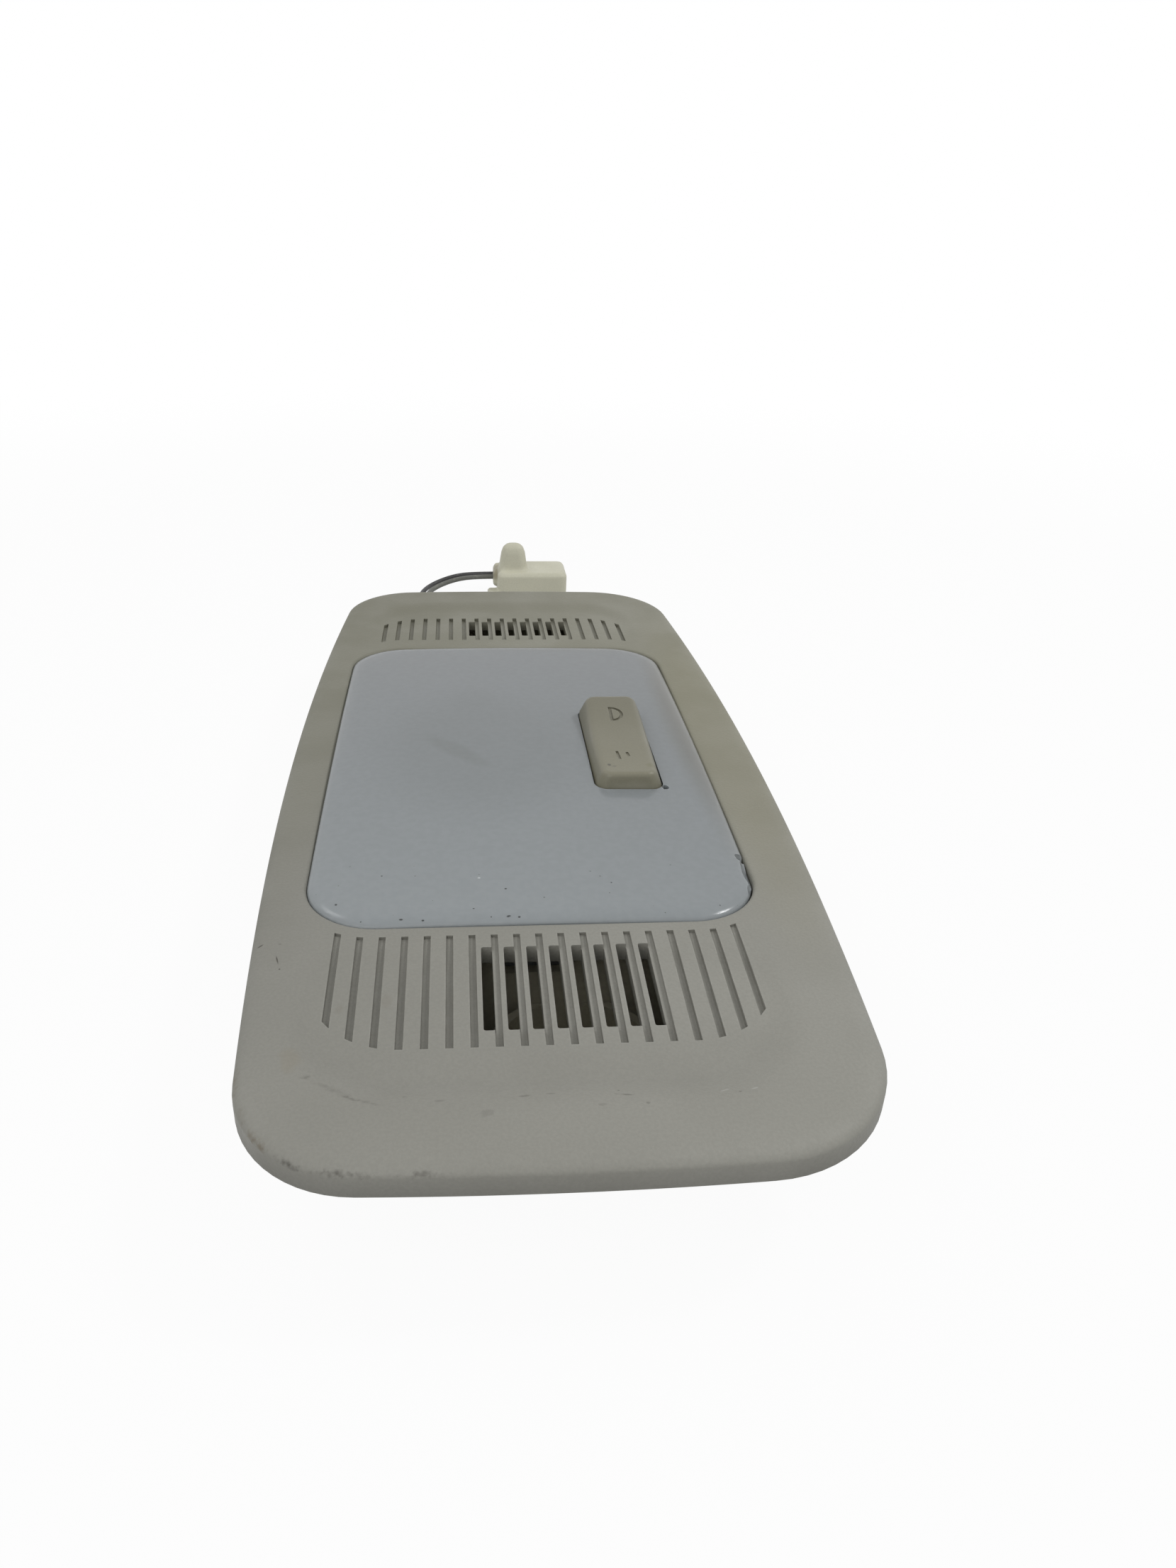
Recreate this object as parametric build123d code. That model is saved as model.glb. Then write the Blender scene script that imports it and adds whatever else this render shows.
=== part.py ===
from build123d import *
import os
from math import acos, atan, degrees, pi, tan

# All sizes are in millimetres.
# X runs across the lamp, Y along it towards the wiring, Z out of the visible face.

# Bezel outline and rim
bezel_width = 102.0
bezel_length = 228.4
side_bow = 5.0
end_bow = 1.7
corner_radius = 19.0
rim_edge = 5.0
rim_round = 3.2
rim_wall = 2.4

# Field inside the rim, a little left of the outline's middle, sinking into a shallow dish at each end
field_shift = -1.9
field_wall = 2.2
dish_depth = 1.2
dish_slope = 5.0
dish_start = 68.0
dish_end = 97.5
dish_width = 78.0
dish_corner = 15.0

# Grille at each end
groove_count = 19
groove_pitch = 3.7
groove_width = 1.18
groove_depth = 1.0
groove_reach = 90.2
groove_start_near = 64.8
groove_start_far = 71.2
groove_start_side = 41.5
groove_start_corner = 13.9
grille_width = 73.0
grille_corner = 14.5
opening_count = 8
opening_first = 7
opening_width = 1.7
opening_inset = 3.3
opening_round = 0.35

# Lens
lens_width = 79.2
lens_length = 125.4
lens_shift = 1.2
lens_corner = 12.5
lens_wall = 2.0
lens_gap = 0.5
lens_crown = 2.6
lens_sag = 1.8
lens_lip = 1.2
opening_lip = 0.8
lens_fit = 0.3
lens_seat_height = 15.0
barb_width = 12.0
barb_reach = 1.0
barb_height = 2.0
chip_place = -44.4
chip_radius = 2.6
chip_bite = 1.3

# Rocker switch
rocker_width = 14.6
rocker_length = 36.6
rocker_top_width = 10.8
rocker_top_length = 34.8
rocker_corner = 2.4
rocker_rise = 4.4
rocker_drop = 4.0
rocker_hollow = 0.7
rocker_edge = 0.9
rocker_wall = 1.8
rocker_x = 19.4
rocker_y = -1.7
pivot_height = 19.5
rest_tilt = 3.2
rocker_side_gap = 0.5
rocker_end_gap = 0.9
skirt_width = 13.0
skirt_length = 26.0
skirt_drop = 3.0
nib_thick = 3.0
nib_drop = 5.0
mark_depth = 0.3
mark_line = 0.45
mark_radius = 2.9
mark_place = 9.0

# Switch under the rocker
pin_radius = 1.5
pin_fit = 0.05
ear_gap = 0.5
ear_thick = 2.4
ear_width = 10.0
ear_above = 2.7
case_side = 1.1
case_length = 32.0
case_height = 11.0
case_wall = 2.0
case_round = 1.0
blade_width = 5.0
blade_thick = 0.4
blade_gap = 0.5
blade_play = 0.5
blade_bend = 2.0
tab_width = 4.8
tab_thick = 0.8
tab_length = 7.0
tab_bite = 1.4
tab_pitch = 8.0
tab_fit = 0.05

# Rear housing
housing_depth = 21.6
housing_wall = 2.0
housing_length = 190.0
housing_corner = 16.0
seat_width = 2.6
seat_length = 6.0
seat_place = 50.0
well_radius = 15.0
well_wall = 1.5
well_height = 7.0
well_place = 77.0
window_width = 6.4
window_length = 7.0
window_spread = 7.7
tab_hook_width = 5.0
tab_hook_thick = 1.4
tab_hook_height = 9.0

# Screws that join housing and bezel
screw_inset_x = 10.1
screw_inset_y = 10.5
screw_radius = 1.45
screw_head_radius = 3.1
screw_head = 2.2
screw_recess = 0.8
screw_length = 15.0
screw_cross = 3.6
screw_slot = 0.9
screw_fit = 0.05
hole_fit = 0.25
boss_wall = 2.1
boss_joint = 8.0

# Festoon bulb and its holders
bulb_x = -20.0
bulb_y = 16.0
bulb_height = 16.0
bulb_turn = -54.0
glass_radius = 5.2
glass_length = 21.0
glass_taper = 2.5
neck_radius = 3.6
neck_length = 31.0
cap_radius = 4.25
cap_fit = 0.05
cap_cup = 2.5
cap_body = 2.0
cap_cone = 2.5
tip_radius = 1.5
tip_length = 1.0
contact_thick = 0.6
contact_width = 8.0
contact_foot = 9.0
contact_above = 4.5
contact_bend = 1.0
tip_fit = 0.1
rivet_radius = 1.5
rivet_head_radius = 2.6
rivet_head = 0.8
rivet_fit = 0.05
rivet_place = 6.0
rivet_sunk = 0.2
shield_length = 26.0
shield_floor = 18.0
shield_side = 4.0
shield_rise = 6.0
shield_thick = 0.8
shield_bend = 3.0

# Spring clips on the sides
clip_width = 14.0
clip_thick = 0.7
clip_top = 18.5
clip_bottom = 4.0
clip_out = 3.4
clip_knee = 12.0
clip_end = 16.5
clip_gape = 1.4
clip_bend = 1.2
peg_radius = 1.5
peg_fit = 0.1
peg_length = 1.2
peg_height = 16.0

# Wires, their grommet and the connector
wire_diameter = 1.7
wire_lie = 0.9
wire_height = 4.2
wire_spread = 2.6
wire_straight = 8.5
entry_height = 5.8
grommet_x = -15.7
grommet_width = 10.0
grommet_height = 5.0
grommet_flange = 1.0
grommet_lip = 1.5
connector_x = 0.5
connector_y = 175.5
connector_length = 26.0
connector_width = 17.2
connector_height = 8.5
connector_round = 0.8
entry_first = 11.1
entry_pitch = 3.6
tongue_x = 0.6
tongue_length = 10.4
tongue_y = 4.0
tongue_thick = 6.0
tongue_height = 10.0
tongue_root = 1.0
tongue_round = 3.6
foot_reach = 4.0
foot_width = 5.5
foot_height = 3.4
cavity_width = 3.2
cavity_height = 2.2
cavity_depth = 14.0
terminal_fit = 0.2
terminal_length = 12.0
terminal_wall = 0.4

# Heights and places that follow from the sizes above
rim_top = housing_depth + field_wall + dish_depth
rim_bottom = rim_top - rim_edge
dish_tilt = degrees(atan(dish_depth / (dish_end - dish_start)))
lens_top = rim_top + lens_crown
lens_ball = ((lens_length / 2) ** 2 + lens_sag ** 2) / (2 * lens_sag)
housing_width = lens_width + 2 * (lens_fit + housing_wall)
screw_x = housing_width / 2 - screw_inset_x
screw_y = housing_length / 2 - screw_inset_y
floor_top = housing_wall
cross_wall_y = lens_length / 2 + lens_fit + housing_wall / 2
pivot = Pos(rocker_x, rocker_y, pivot_height)
shoulder = lens_top - pivot_height
case_half = skirt_width / 2 + ear_gap + ear_thick + case_side
case_top = floor_top + case_height
case_floor = floor_top + case_wall
cavity_half = skirt_width / 2 + ear_gap
grille_x = field_shift + (opening_first + (opening_count - 1) / 2 - (groove_count - 1) / 2) * groove_pitch
bulb_axis = Pos(bulb_x, bulb_y, bulb_height) * Rot(0, 0, bulb_turn)
bulb_half = neck_length / 2 + cap_body + cap_cone
housing_left = field_shift - housing_width / 2
housing_right = field_shift + housing_width / 2
up = Align.CENTER, Align.CENTER, Align.MIN


def bezel_face(inset):
    x_mid = bezel_width / 2 - inset
    y_mid = bezel_length / 2 - inset
    x_end = x_mid - side_bow
    y_end = y_mid - end_bow
    right = ThreePointArc((x_end, -y_end), (x_mid, 0), (x_end, y_end))
    far = ThreePointArc((x_end, y_end), (0, y_mid), (-x_end, y_end))
    left = ThreePointArc((-x_end, y_end), (-x_mid, 0), (-x_end, -y_end))
    near = ThreePointArc((-x_end, -y_end), (0, -y_mid), (x_end, -y_end))
    face = make_face([right, far, left, near])
    return fillet(face.vertices(), corner_radius - inset)


def block(width, length, radius, low, high, x=field_shift, y=0.0):
    return Pos(x, y, low) * extrude(RectangleRounded(width, length, radius), high - low)


def corners(x, y):
    return [(field_shift + sx * x, sy * y) for sx in (-1, 1) for sy in (-1, 1)]


def groove_xs():
    middle = (groove_count - 1) / 2
    return [field_shift + (i - middle) * groove_pitch for i in range(groove_count)]


def dish_frame():
    return Pos(0, -dish_start, rim_top) * Rot(dish_tilt, 0, 0) * Pos(0, dish_start, 0)


def dish_cut():
    high = 2 * dish_depth
    wide = dish_slope * high / dish_depth
    floor = RectangleRounded(dish_width, 2 * dish_end, dish_corner)
    above = RectangleRounded(dish_width + 2 * wide, 2 * (dish_end + wide), dish_corner + wide)
    return dish_frame() * Pos(field_shift, 0, 0) * loft([floor, Pos(0, 0, high) * above], ruled=True)


def groove_cut(start):
    around = RectangleRounded(2 * groove_start_side, 2 * start, groove_start_corner)
    area = Pos(field_shift, 0) * (RectangleRounded(grille_width, 2 * groove_reach, grille_corner) - around)
    bars = [Pos(x, -groove_reach / 2) * Rectangle(groove_width, groove_reach) for x in groove_xs()]
    lines = (Sketch() + bars) & area
    return dish_frame() * Pos(0, 0, -groove_depth) * extrude(lines, 3 * groove_depth)


def opening_cut(start):
    inner = start + opening_inset
    outer = groove_reach - opening_inset
    slot = RectangleRounded(opening_width, outer - inner, opening_round)
    beside = (groove_width + opening_width) / 2
    used = groove_xs()[opening_first:opening_first + opening_count]
    slots = Sketch() + [Pos(x - beside, -(inner + outer) / 2) * slot for x in used]
    return Pos(0, 0, rim_bottom) * extrude(slots, rim_edge)


def make_bezel():
    body = Pos(0, 0, rim_bottom) * extrude(bezel_face(0), rim_edge)
    body = fillet(body.faces().sort_by(Axis.Z)[-1].edges(), rim_round)
    body -= Pos(0, 0, rim_bottom) * extrude(bezel_face(rim_wall), housing_depth - rim_bottom)
    opening_width_x = lens_width + 2 * lens_gap
    opening_length_y = lens_length + 2 * lens_gap
    body -= block(opening_width_x, opening_length_y, lens_corner + lens_gap, 0, lens_top, field_shift, lens_shift)
    level = body.edges().filter_by_position(Axis.Z, rim_top - 0.01, rim_top + 0.01)
    along = opening_length_y / 2 + 0.1
    inner = level.filter_by_position(Axis.Y, lens_shift - along, lens_shift + along)
    around = opening_width_x / 2 + 0.1
    body = fillet(inner.filter_by_position(Axis.X, field_shift - around, field_shift + around), opening_lip)
    footprint = block(housing_width + rim_wall, housing_length + rim_wall, housing_corner + rim_wall / 2,
                      housing_depth, rim_top)
    groove = extrude(bezel_face(rim_wall), rim_top - rim_wall - housing_depth)
    body -= Pos(0, 0, housing_depth) * groove - footprint
    for cut in (dish_cut(), groove_cut(groove_start_near), opening_cut(groove_start_near)):
        body -= cut
    for cut in (dish_cut(), groove_cut(groove_start_far), opening_cut(groove_start_far)):
        body -= mirror(cut, Plane.XZ)
    height = housing_depth - boss_joint
    boss = Cylinder(screw_radius + boss_wall, height, align=up)
    boss -= Cylinder(screw_radius + screw_fit, height, align=up)
    for x, y in corners(screw_x, screw_y):
        body += Pos(x, y, boss_joint) * boss
    return body


def lens_shell(inset):
    width = lens_width - 2 * inset
    length = lens_length - 2 * inset
    shape = block(width, length, lens_corner - inset, lens_seat_height, lens_top)
    shape &= Pos(field_shift, 0, lens_top - lens_ball) * Rot(90, 0, 0) * Sphere(lens_ball - inset)
    round_top = lens_lip if inset == 0 else lens_lip / 2
    return fillet(shape.faces().sort_by(Axis.Z)[-1].edges(), round_top)


def make_lens():
    body = lens_shell(0) - lens_shell(lens_wall)
    barb = extrude(Plane.YZ * Polygon((0, 0), (barb_reach, barb_height), (0, barb_height), align=None),
                   barb_width / 2, both=True)
    barb_at = Pos(field_shift, lens_length / 2, lens_seat_height + barb_height)
    body += barb_at * barb
    body += mirror(barb_at * barb, Plane.XZ)
    body = Pos(0, lens_shift, 0) * body
    body -= block(rocker_width + 2 * rocker_side_gap, rocker_length + 2 * rocker_end_gap,
                  rocker_corner + rocker_side_gap, lens_top - 3 * lens_wall, lens_top + 1, rocker_x, rocker_y)
    edge_x = field_shift + lens_width / 2
    edge_z = lens_top - lens_sag / 2 - lens_lip / 2
    body -= Pos(edge_x + chip_radius - chip_bite, chip_place, edge_z + chip_radius / 2) * Sphere(chip_radius)
    return body


def lamp_mark():
    bow = ThreePointArc((0, -mark_radius), (mark_radius, 0), (0, mark_radius))
    stem = Line((0, -mark_radius), (0, mark_radius))
    return trace([bow, stem], mark_line)


def make_rocker():
    low = RectangleRounded(rocker_width, rocker_length, rocker_corner)
    top = shoulder + rocker_rise
    body = Pos(0, 0, shoulder - rocker_drop) * extrude(low, rocker_drop)
    high = RectangleRounded(rocker_top_width, rocker_top_length, rocker_corner)
    body += loft([Pos(0, 0, shoulder) * low, Pos(0, 0, top) * high], ruled=True)
    curve = ((rocker_top_length / 2) ** 2 + rocker_hollow ** 2) / (2 * rocker_hollow)
    barrel_at = Pos(0, 0, top + curve - rocker_hollow) * Rot(0, 90, 0)
    body -= barrel_at * Cylinder(curve, 2 * rocker_width)
    body = fillet(body.faces().sort_by(Axis.Z)[-1].edges(), rocker_edge)
    mark = Pos(-mark_radius / 2, mark_place, shoulder) * extrude(lamp_mark(), rocker_rise)
    body -= mark & (barrel_at * Cylinder(curve + mark_depth, 2 * rocker_width))
    skirt_top = shoulder - rocker_drop
    body += block(skirt_width, skirt_length, rocker_wall, -skirt_drop, skirt_top, 0)
    hollow = block(skirt_width - 2 * rocker_wall, skirt_length - 2 * rocker_wall, rocker_wall / 2,
                   -skirt_drop, shoulder, 0)
    body -= hollow
    body += block(skirt_width - rocker_wall, nib_thick, nib_thick / 4, -nib_drop, shoulder + rocker_wall / 2, 0)
    body += Rot(0, 90, 0) * Cylinder(pin_radius, 2 * (skirt_width / 2 + ear_gap + ear_thick))
    return pivot * Rot(rest_tilt, 0, 0) * body


def make_switch_case():
    body = block(2 * case_half, case_length, case_round, floor_top, case_top, rocker_x, rocker_y)
    body -= block(2 * cavity_half, case_length - 2 * case_wall, case_round / 2, case_floor, case_top,
                  rocker_x, rocker_y)
    ear_x = skirt_width / 2 + ear_gap + ear_thick / 2
    ear = Box(ear_thick, ear_width, pivot_height + ear_above - case_floor, align=up)
    for side in (-1, 1):
        body += Pos(rocker_x + side * ear_x, rocker_y, case_floor) * ear
    body -= pivot * Rot(0, 90, 0) * Cylinder(pin_radius + pin_fit, 4 * case_half)
    inward = Align.MIN, Align.CENTER, Align.CENTER
    slot = Box(tab_bite + tab_fit, tab_width + 2 * tab_fit, tab_thick + 2 * tab_fit, align=inward)
    for at in tab_places():
        body -= at * slot
    return body


def tab_places():
    height = case_floor + case_height / 3
    return [Pos(rocker_x - case_half, rocker_y + i * tab_pitch, height) for i in (-1, 0, 1)]


def make_switch_blade():
    half = case_length / 2 - case_wall - blade_play
    low = case_floor + blade_thick / 2
    high = pivot_height - nib_drop - blade_gap - blade_thick / 2
    foot = 0.6 * half
    flat = 0.25 * half
    points = [(-half, low), (-foot, low), (-flat, high), (flat, high), (foot, low), (half, low)]
    line = FilletPolyline(*points, radius=blade_bend)
    strip = extrude(Plane.YZ * trace(line, blade_thick), blade_width / 2, both=True)
    return Pos(rocker_x, rocker_y, 0) * strip


def make_switch_terminals():
    tab = Box(tab_bite + tab_length, tab_width, tab_thick, align=(Align.MAX, Align.CENTER, Align.CENTER))
    return Compound(children=[at * Pos(tab_bite, 0, 0) * tab for at in tab_places()])


def make_rear_housing():
    body = block(housing_width, housing_length, housing_corner, 0, housing_depth)
    inner_width = housing_width - 2 * housing_wall
    inner_length = housing_length - 2 * housing_wall
    body -= block(inner_width, inner_length, housing_corner - housing_wall, floor_top, housing_depth)
    for side in (-1, 1):
        wall = Box(inner_width, housing_wall, housing_depth - floor_top, align=up)
        window = Box(barb_width + 2 * lens_fit, housing_wall, 2 * barb_height, align=up)
        wall -= Pos(0, 0, lens_seat_height + barb_height / 2 - floor_top) * window
        body += Pos(field_shift, lens_shift + side * cross_wall_y, floor_top) * wall
        body += lens_seats(side)
        body += end_well(side)
        body -= end_windows(side)
    for x, y in corners(screw_x, screw_y):
        body += Pos(x, y, 0) * Cylinder(screw_head_radius + boss_wall, boss_joint, align=up)
        body -= Pos(x, y, 0) * Cylinder(screw_radius + hole_fit, 2 * boss_joint)
        body -= Pos(x, y, 0) * Cylinder(screw_head_radius + hole_fit, 2 * (screw_recess + screw_head))
    for at in rivet_places():
        body -= at * Cylinder(rivet_radius + rivet_fit, 4 * housing_wall)
    peg = Rot(0, 90, 0) * Cylinder(peg_radius, peg_length, align=up)
    body += Pos(housing_right, 0, peg_height) * peg
    body += mirror(Pos(-housing_left, 0, peg_height) * peg, Plane.YZ)
    notch = Box(grommet_width, 2 * housing_wall, grommet_height, align=up)
    body -= Pos(grommet_x, housing_length / 2, floor_top) * notch
    return body


def lens_seats(side):
    inner = housing_width / 2 - housing_wall
    low = Box(seat_width, seat_length, lens_seat_height - floor_top, align=up)
    out = inner - seat_width / 2
    across = [Pos(field_shift + sx * out, side * seat_place, floor_top) * low for sx in (-1, 1)]
    end_y = cross_wall_y - housing_wall / 2 - seat_width / 2
    end = Pos(field_shift, lens_shift + side * end_y, floor_top) * Rot(0, 0, 90) * low
    return across + [end]


def end_well(side):
    ring = Cylinder(well_radius, well_height) - Cylinder(well_radius - well_wall, well_height)
    well = Pos(grille_x, side * well_place, floor_top + well_height / 2) * ring
    hook = Box(tab_hook_width, tab_hook_thick, tab_hook_height, align=up)
    hook_y = side * (well_place + (window_length + tab_hook_thick) / 2)
    return [well] + [Pos(grille_x + sx * window_spread, hook_y, floor_top) * hook for sx in (-1, 1)]


def end_windows(side):
    hole = Box(window_width, window_length, 4 * housing_wall)
    return [Pos(grille_x + sx * window_spread, side * well_place, 0) * hole for sx in (-1, 1)]


def make_housing_screws():
    seat = screw_recess + screw_head
    head = Pos(0, 0, screw_recess) * Cylinder(screw_head_radius, screw_head, align=up)
    shank = Pos(0, 0, seat) * Cylinder(screw_radius, screw_length, align=up)
    bar = Box(screw_cross, screw_slot, screw_head)
    cross = Pos(0, 0, screw_recess) * (bar + Rot(0, 0, 90) * bar)
    screw = head + shank - cross
    return Compound(children=[Pos(x, y, 0) * screw for x, y in corners(screw_x, screw_y)])


def make_bulb_glass():
    half = glass_length / 2
    points = [(0, 0), (glass_radius, 0), (glass_radius, half), (neck_radius, half + glass_taper)]
    points += [(neck_radius, neck_length / 2), (0, neck_length / 2)]
    half_glass = revolve(make_face(Polyline(*points, close=True)), Axis.Y)
    return bulb_axis * Rot(0, 0, -90) * (half_glass + mirror(half_glass, Plane.XZ))


def make_bulb_caps():
    base = neck_length / 2
    cup = neck_radius + cap_fit
    cone = base + cap_body
    tip = cone + cap_cone
    points = [(0, base), (cup, base), (cup, base - cap_cup), (cap_radius, base - cap_cup), (cap_radius, cone)]
    points += [(tip_radius, tip), (tip_radius, tip + tip_length), (0, tip + tip_length)]
    cap = revolve(make_face(Polyline(*points, close=True)), Axis.Y)
    turned = bulb_axis * Rot(0, 0, -90)
    return Compound(children=[turned * cap, turned * mirror(cap, Plane.XZ)])


def contact_blade():
    reach = bulb_half + contact_thick / 2
    low = floor_top + contact_thick / 2 - bulb_height
    points = [(reach, contact_above), (reach, low), (reach + contact_foot, low)]
    line = FilletPolyline(*points, radius=contact_bend)
    blade = extrude(Plane.XZ * trace(line, contact_thick), contact_width / 2, both=True)
    blade -= Pos(bulb_half, 0, 0) * Rot(0, 90, 0) * Cylinder(tip_radius + tip_fit, 4 * contact_thick)
    return blade - Pos(bulb_half + rivet_place, 0, low) * Cylinder(rivet_radius + rivet_fit, 4 * contact_thick)


def rivet_places():
    out = bulb_half + rivet_place
    return [bulb_axis * turn * Pos(out, 0, -bulb_height) for turn in (Rot(0, 0, 0), Rot(0, 0, 180))]


def make_contact_rivets():
    under_head = floor_top + contact_thick
    shank = Pos(0, 0, rivet_sunk) * Cylinder(rivet_radius, under_head - rivet_sunk, align=up)
    head = Pos(0, 0, under_head) * Cylinder(rivet_head_radius, rivet_head, align=up)
    return Compound(children=[at * (shank + head) for at in rivet_places()])


def make_heat_shield():
    half = shield_floor / 2
    low = floor_top + shield_thick / 2 - bulb_height
    high = low + shield_rise
    points = [(-half - shield_side, high), (-half, low), (half, low), (half + shield_side, high)]
    line = FilletPolyline(*points, radius=shield_bend)
    return bulb_axis * extrude(Plane.YZ * trace(line, shield_thick), shield_length / 2, both=True)


def side_clip():
    u = clip_thick / 2
    out = u + clip_out
    lower = [(u, clip_top), (u, clip_bottom), (out, clip_bottom + clip_out)]
    points = lower + [(out, clip_knee), (u + clip_gape, clip_end)]
    line = FilletPolyline(*points, radius=clip_bend)
    strip = extrude(Plane.XZ * trace(line, clip_thick), clip_width / 2, both=True)
    return strip - Pos(0, 0, peg_height) * Rot(0, 90, 0) * Cylinder(peg_radius + peg_fit, 2 * peg_length)


def make_grommet():
    outside = housing_length / 2
    back = Align.CENTER, Align.MAX, Align.CENTER
    height = floor_top + grommet_height / 2
    body = Pos(grommet_x, outside, height) * Box(grommet_width, housing_wall, grommet_height, align=back)
    edge = 2 * grommet_flange
    flange = Box(grommet_width + edge, grommet_lip, grommet_height + edge, align=back)
    return body + Pos(grommet_x, outside + grommet_lip, height) * flange


def wire_ends(place):
    x = grommet_x + (0.5 - place) * wire_spread
    start = (x, housing_length / 2 + grommet_lip, wire_height)
    entry = connector_y + entry_first + place * entry_pitch
    return start, (x, start[1] + wire_straight, wire_height), (connector_x, entry, entry_height)


def grey_route():
    start, out, end = wire_ends(0)
    return [start, out, (-15.4, 121.0, 2.0), (-18.3, 135.6, wire_lie), (-22.7, 151.4, wire_lie),
            (-26.0, 167.2, wire_lie), (-26.5, 180.0, wire_lie), (-22.7, 188.2, 1.4), (-15.2, 190.4, 3.6),
            (-7.4, end[1], entry_height), end]


def black_route():
    start, out, end = wire_ends(1)
    return [start, out, (-17.8, 121.0, 2.0), (-20.6, 135.0, wire_lie), (-25.0, 151.0, wire_lie),
            (-28.3, 167.0, wire_lie), (-28.9, 181.0, wire_lie), (-24.4, 191.2, 1.4), (-15.8, 194.7, 3.6),
            (-7.4, end[1], entry_height), end]


def wire_radii(route):
    points = [Vector(*p) for p in route]
    runs = [b - a for a, b in zip(points, points[1:])]
    radii = []
    for a, b in zip(runs, runs[1:]):
        turn = acos(max(-1.0, min(1.0, a.normalized().dot(b.normalized()))))
        radii.append(0.45 * min(a.length, b.length) / tan(turn / 2))
    return radii


def make_wire(route):
    radii = wire_radii(route)
    line = FilletPolyline(*route, radius=radii)
    tube = sweep(Plane(line @ 0, z_dir=line % 0) * Circle(wire_diameter / 2), line)
    section = pi * wire_diameter ** 2 / 4 * line.length
    print("wire length", round(line.length, 1), "volume ratio", round(tube.volume / section, 4),
          "radii", [round(r, 1) for r in radii])
    return tube


def make_connector_body():
    middle_y = connector_y + connector_width / 2
    middle_x = connector_x + connector_length / 2
    body = Pos(middle_x, middle_y, 0) * Box(connector_length, connector_width, connector_height, align=up)
    body = fillet(body.edges().filter_by(Axis.Z) + body.faces().sort_by(Axis.Z)[-1].edges(), connector_round)
    tongue = Box(tongue_length, tongue_thick, tongue_height + tongue_root, align=up)
    tongue = fillet(tongue.faces().sort_by(Axis.Z)[-1].edges().filter_by(Axis.Y), tongue_round)
    along = connector_x + tongue_x + tongue_length / 2
    across = connector_y + tongue_y + tongue_thick / 2
    body += Pos(along, across, connector_height - tongue_root) * tongue
    foot = Box(2 * foot_reach, foot_width, foot_height, align=up)
    body += Pos(connector_x, connector_y + foot_width / 2, 0) * foot
    cavity = Box(cavity_depth, cavity_width, cavity_height, align=(Align.MAX, Align.CENTER, Align.MIN))
    for i in (0, 1):
        body -= cavity_at(i) * cavity
    return body


def cavity_at(i):
    return Pos(connector_x + connector_length, connector_y + entry_first + i * entry_pitch,
               entry_height - cavity_height / 2)


def make_connector_terminals():
    width = cavity_width - 2 * terminal_fit
    height = cavity_height - terminal_fit
    align = Align.MAX, Align.CENTER, Align.CENTER
    shell = Box(terminal_length, width, height, align=align)
    shell -= Box(terminal_length, width - 2 * terminal_wall, height - 2 * terminal_wall, align=align)
    lift = Pos(-(cavity_depth - terminal_length) / 2, 0, height / 2)
    return Compound(children=[cavity_at(i) * lift * shell for i in (0, 1)])


clip = side_clip()
blade = contact_blade()
parts = {
    "bezel": make_bezel(),
    "lens": make_lens(),
    "rocker": make_rocker(),
    "rear_housing": make_rear_housing(),
    "switch_case": make_switch_case(),
    "switch_blade": make_switch_blade(),
    "switch_terminals": make_switch_terminals(),
    "housing_screws": make_housing_screws(),
    "bulb_glass": make_bulb_glass(),
    "bulb_caps": make_bulb_caps(),
    "bulb_contact_right": bulb_axis * blade,
    "bulb_contact_left": bulb_axis * Rot(0, 0, 180) * blade,
    "contact_rivets": make_contact_rivets(),
    "heat_shield": make_heat_shield(),
    "clip_right": Pos(housing_right, 0, 0) * clip,
    "clip_left": mirror(Pos(-housing_left, 0, 0) * clip, Plane.YZ),
    "wire_grommet": make_grommet(),
    "wire_grey": make_wire(grey_route()),
    "wire_black": make_wire(black_route()),
    "connector_body": make_connector_body(),
    "connector_terminals": make_connector_terminals(),
}
os.makedirs("parts", exist_ok=True)
for name, shape in parts.items():
    export_step(shape, f"parts/{name}.step")
    print(name, len(shape.solids()), round(shape.volume, 1), shape.bounding_box())
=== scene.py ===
import math

import bmesh
import bpy
import numpy as np
from mathutils import Matrix, Vector, noise


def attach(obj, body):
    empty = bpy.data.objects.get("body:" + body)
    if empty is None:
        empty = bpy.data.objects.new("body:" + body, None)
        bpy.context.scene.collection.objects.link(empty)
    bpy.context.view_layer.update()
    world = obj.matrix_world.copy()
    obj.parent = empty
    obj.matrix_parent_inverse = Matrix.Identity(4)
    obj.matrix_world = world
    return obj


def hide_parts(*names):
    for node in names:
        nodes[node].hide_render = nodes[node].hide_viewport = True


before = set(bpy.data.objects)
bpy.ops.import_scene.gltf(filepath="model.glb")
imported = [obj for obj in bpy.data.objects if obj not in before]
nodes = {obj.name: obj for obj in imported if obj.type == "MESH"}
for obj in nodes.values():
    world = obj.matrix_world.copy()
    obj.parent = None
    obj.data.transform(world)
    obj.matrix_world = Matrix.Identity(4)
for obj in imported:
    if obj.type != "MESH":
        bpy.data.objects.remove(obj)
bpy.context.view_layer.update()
scene = bpy.context.scene
scene.view_settings.view_transform = "Standard"
mm = 0.001
print("frame loaded:", len(nodes), "nodes")


# Camera, where the photo was taken from

cameraSetup = {
    "lens": 24.8244,
    "sensor": 36.0,  # along the frame's long side
    "shift": (0.0308, -0.0114),  # the view's middle lies off the frame's middle
    "nearest": 0.005,
    "place": (-0.01458, -0.21133, 0.13383),
    "heading": -4.748,
    "pitch": 62.278,
    "roll": 1.476,
}


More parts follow.
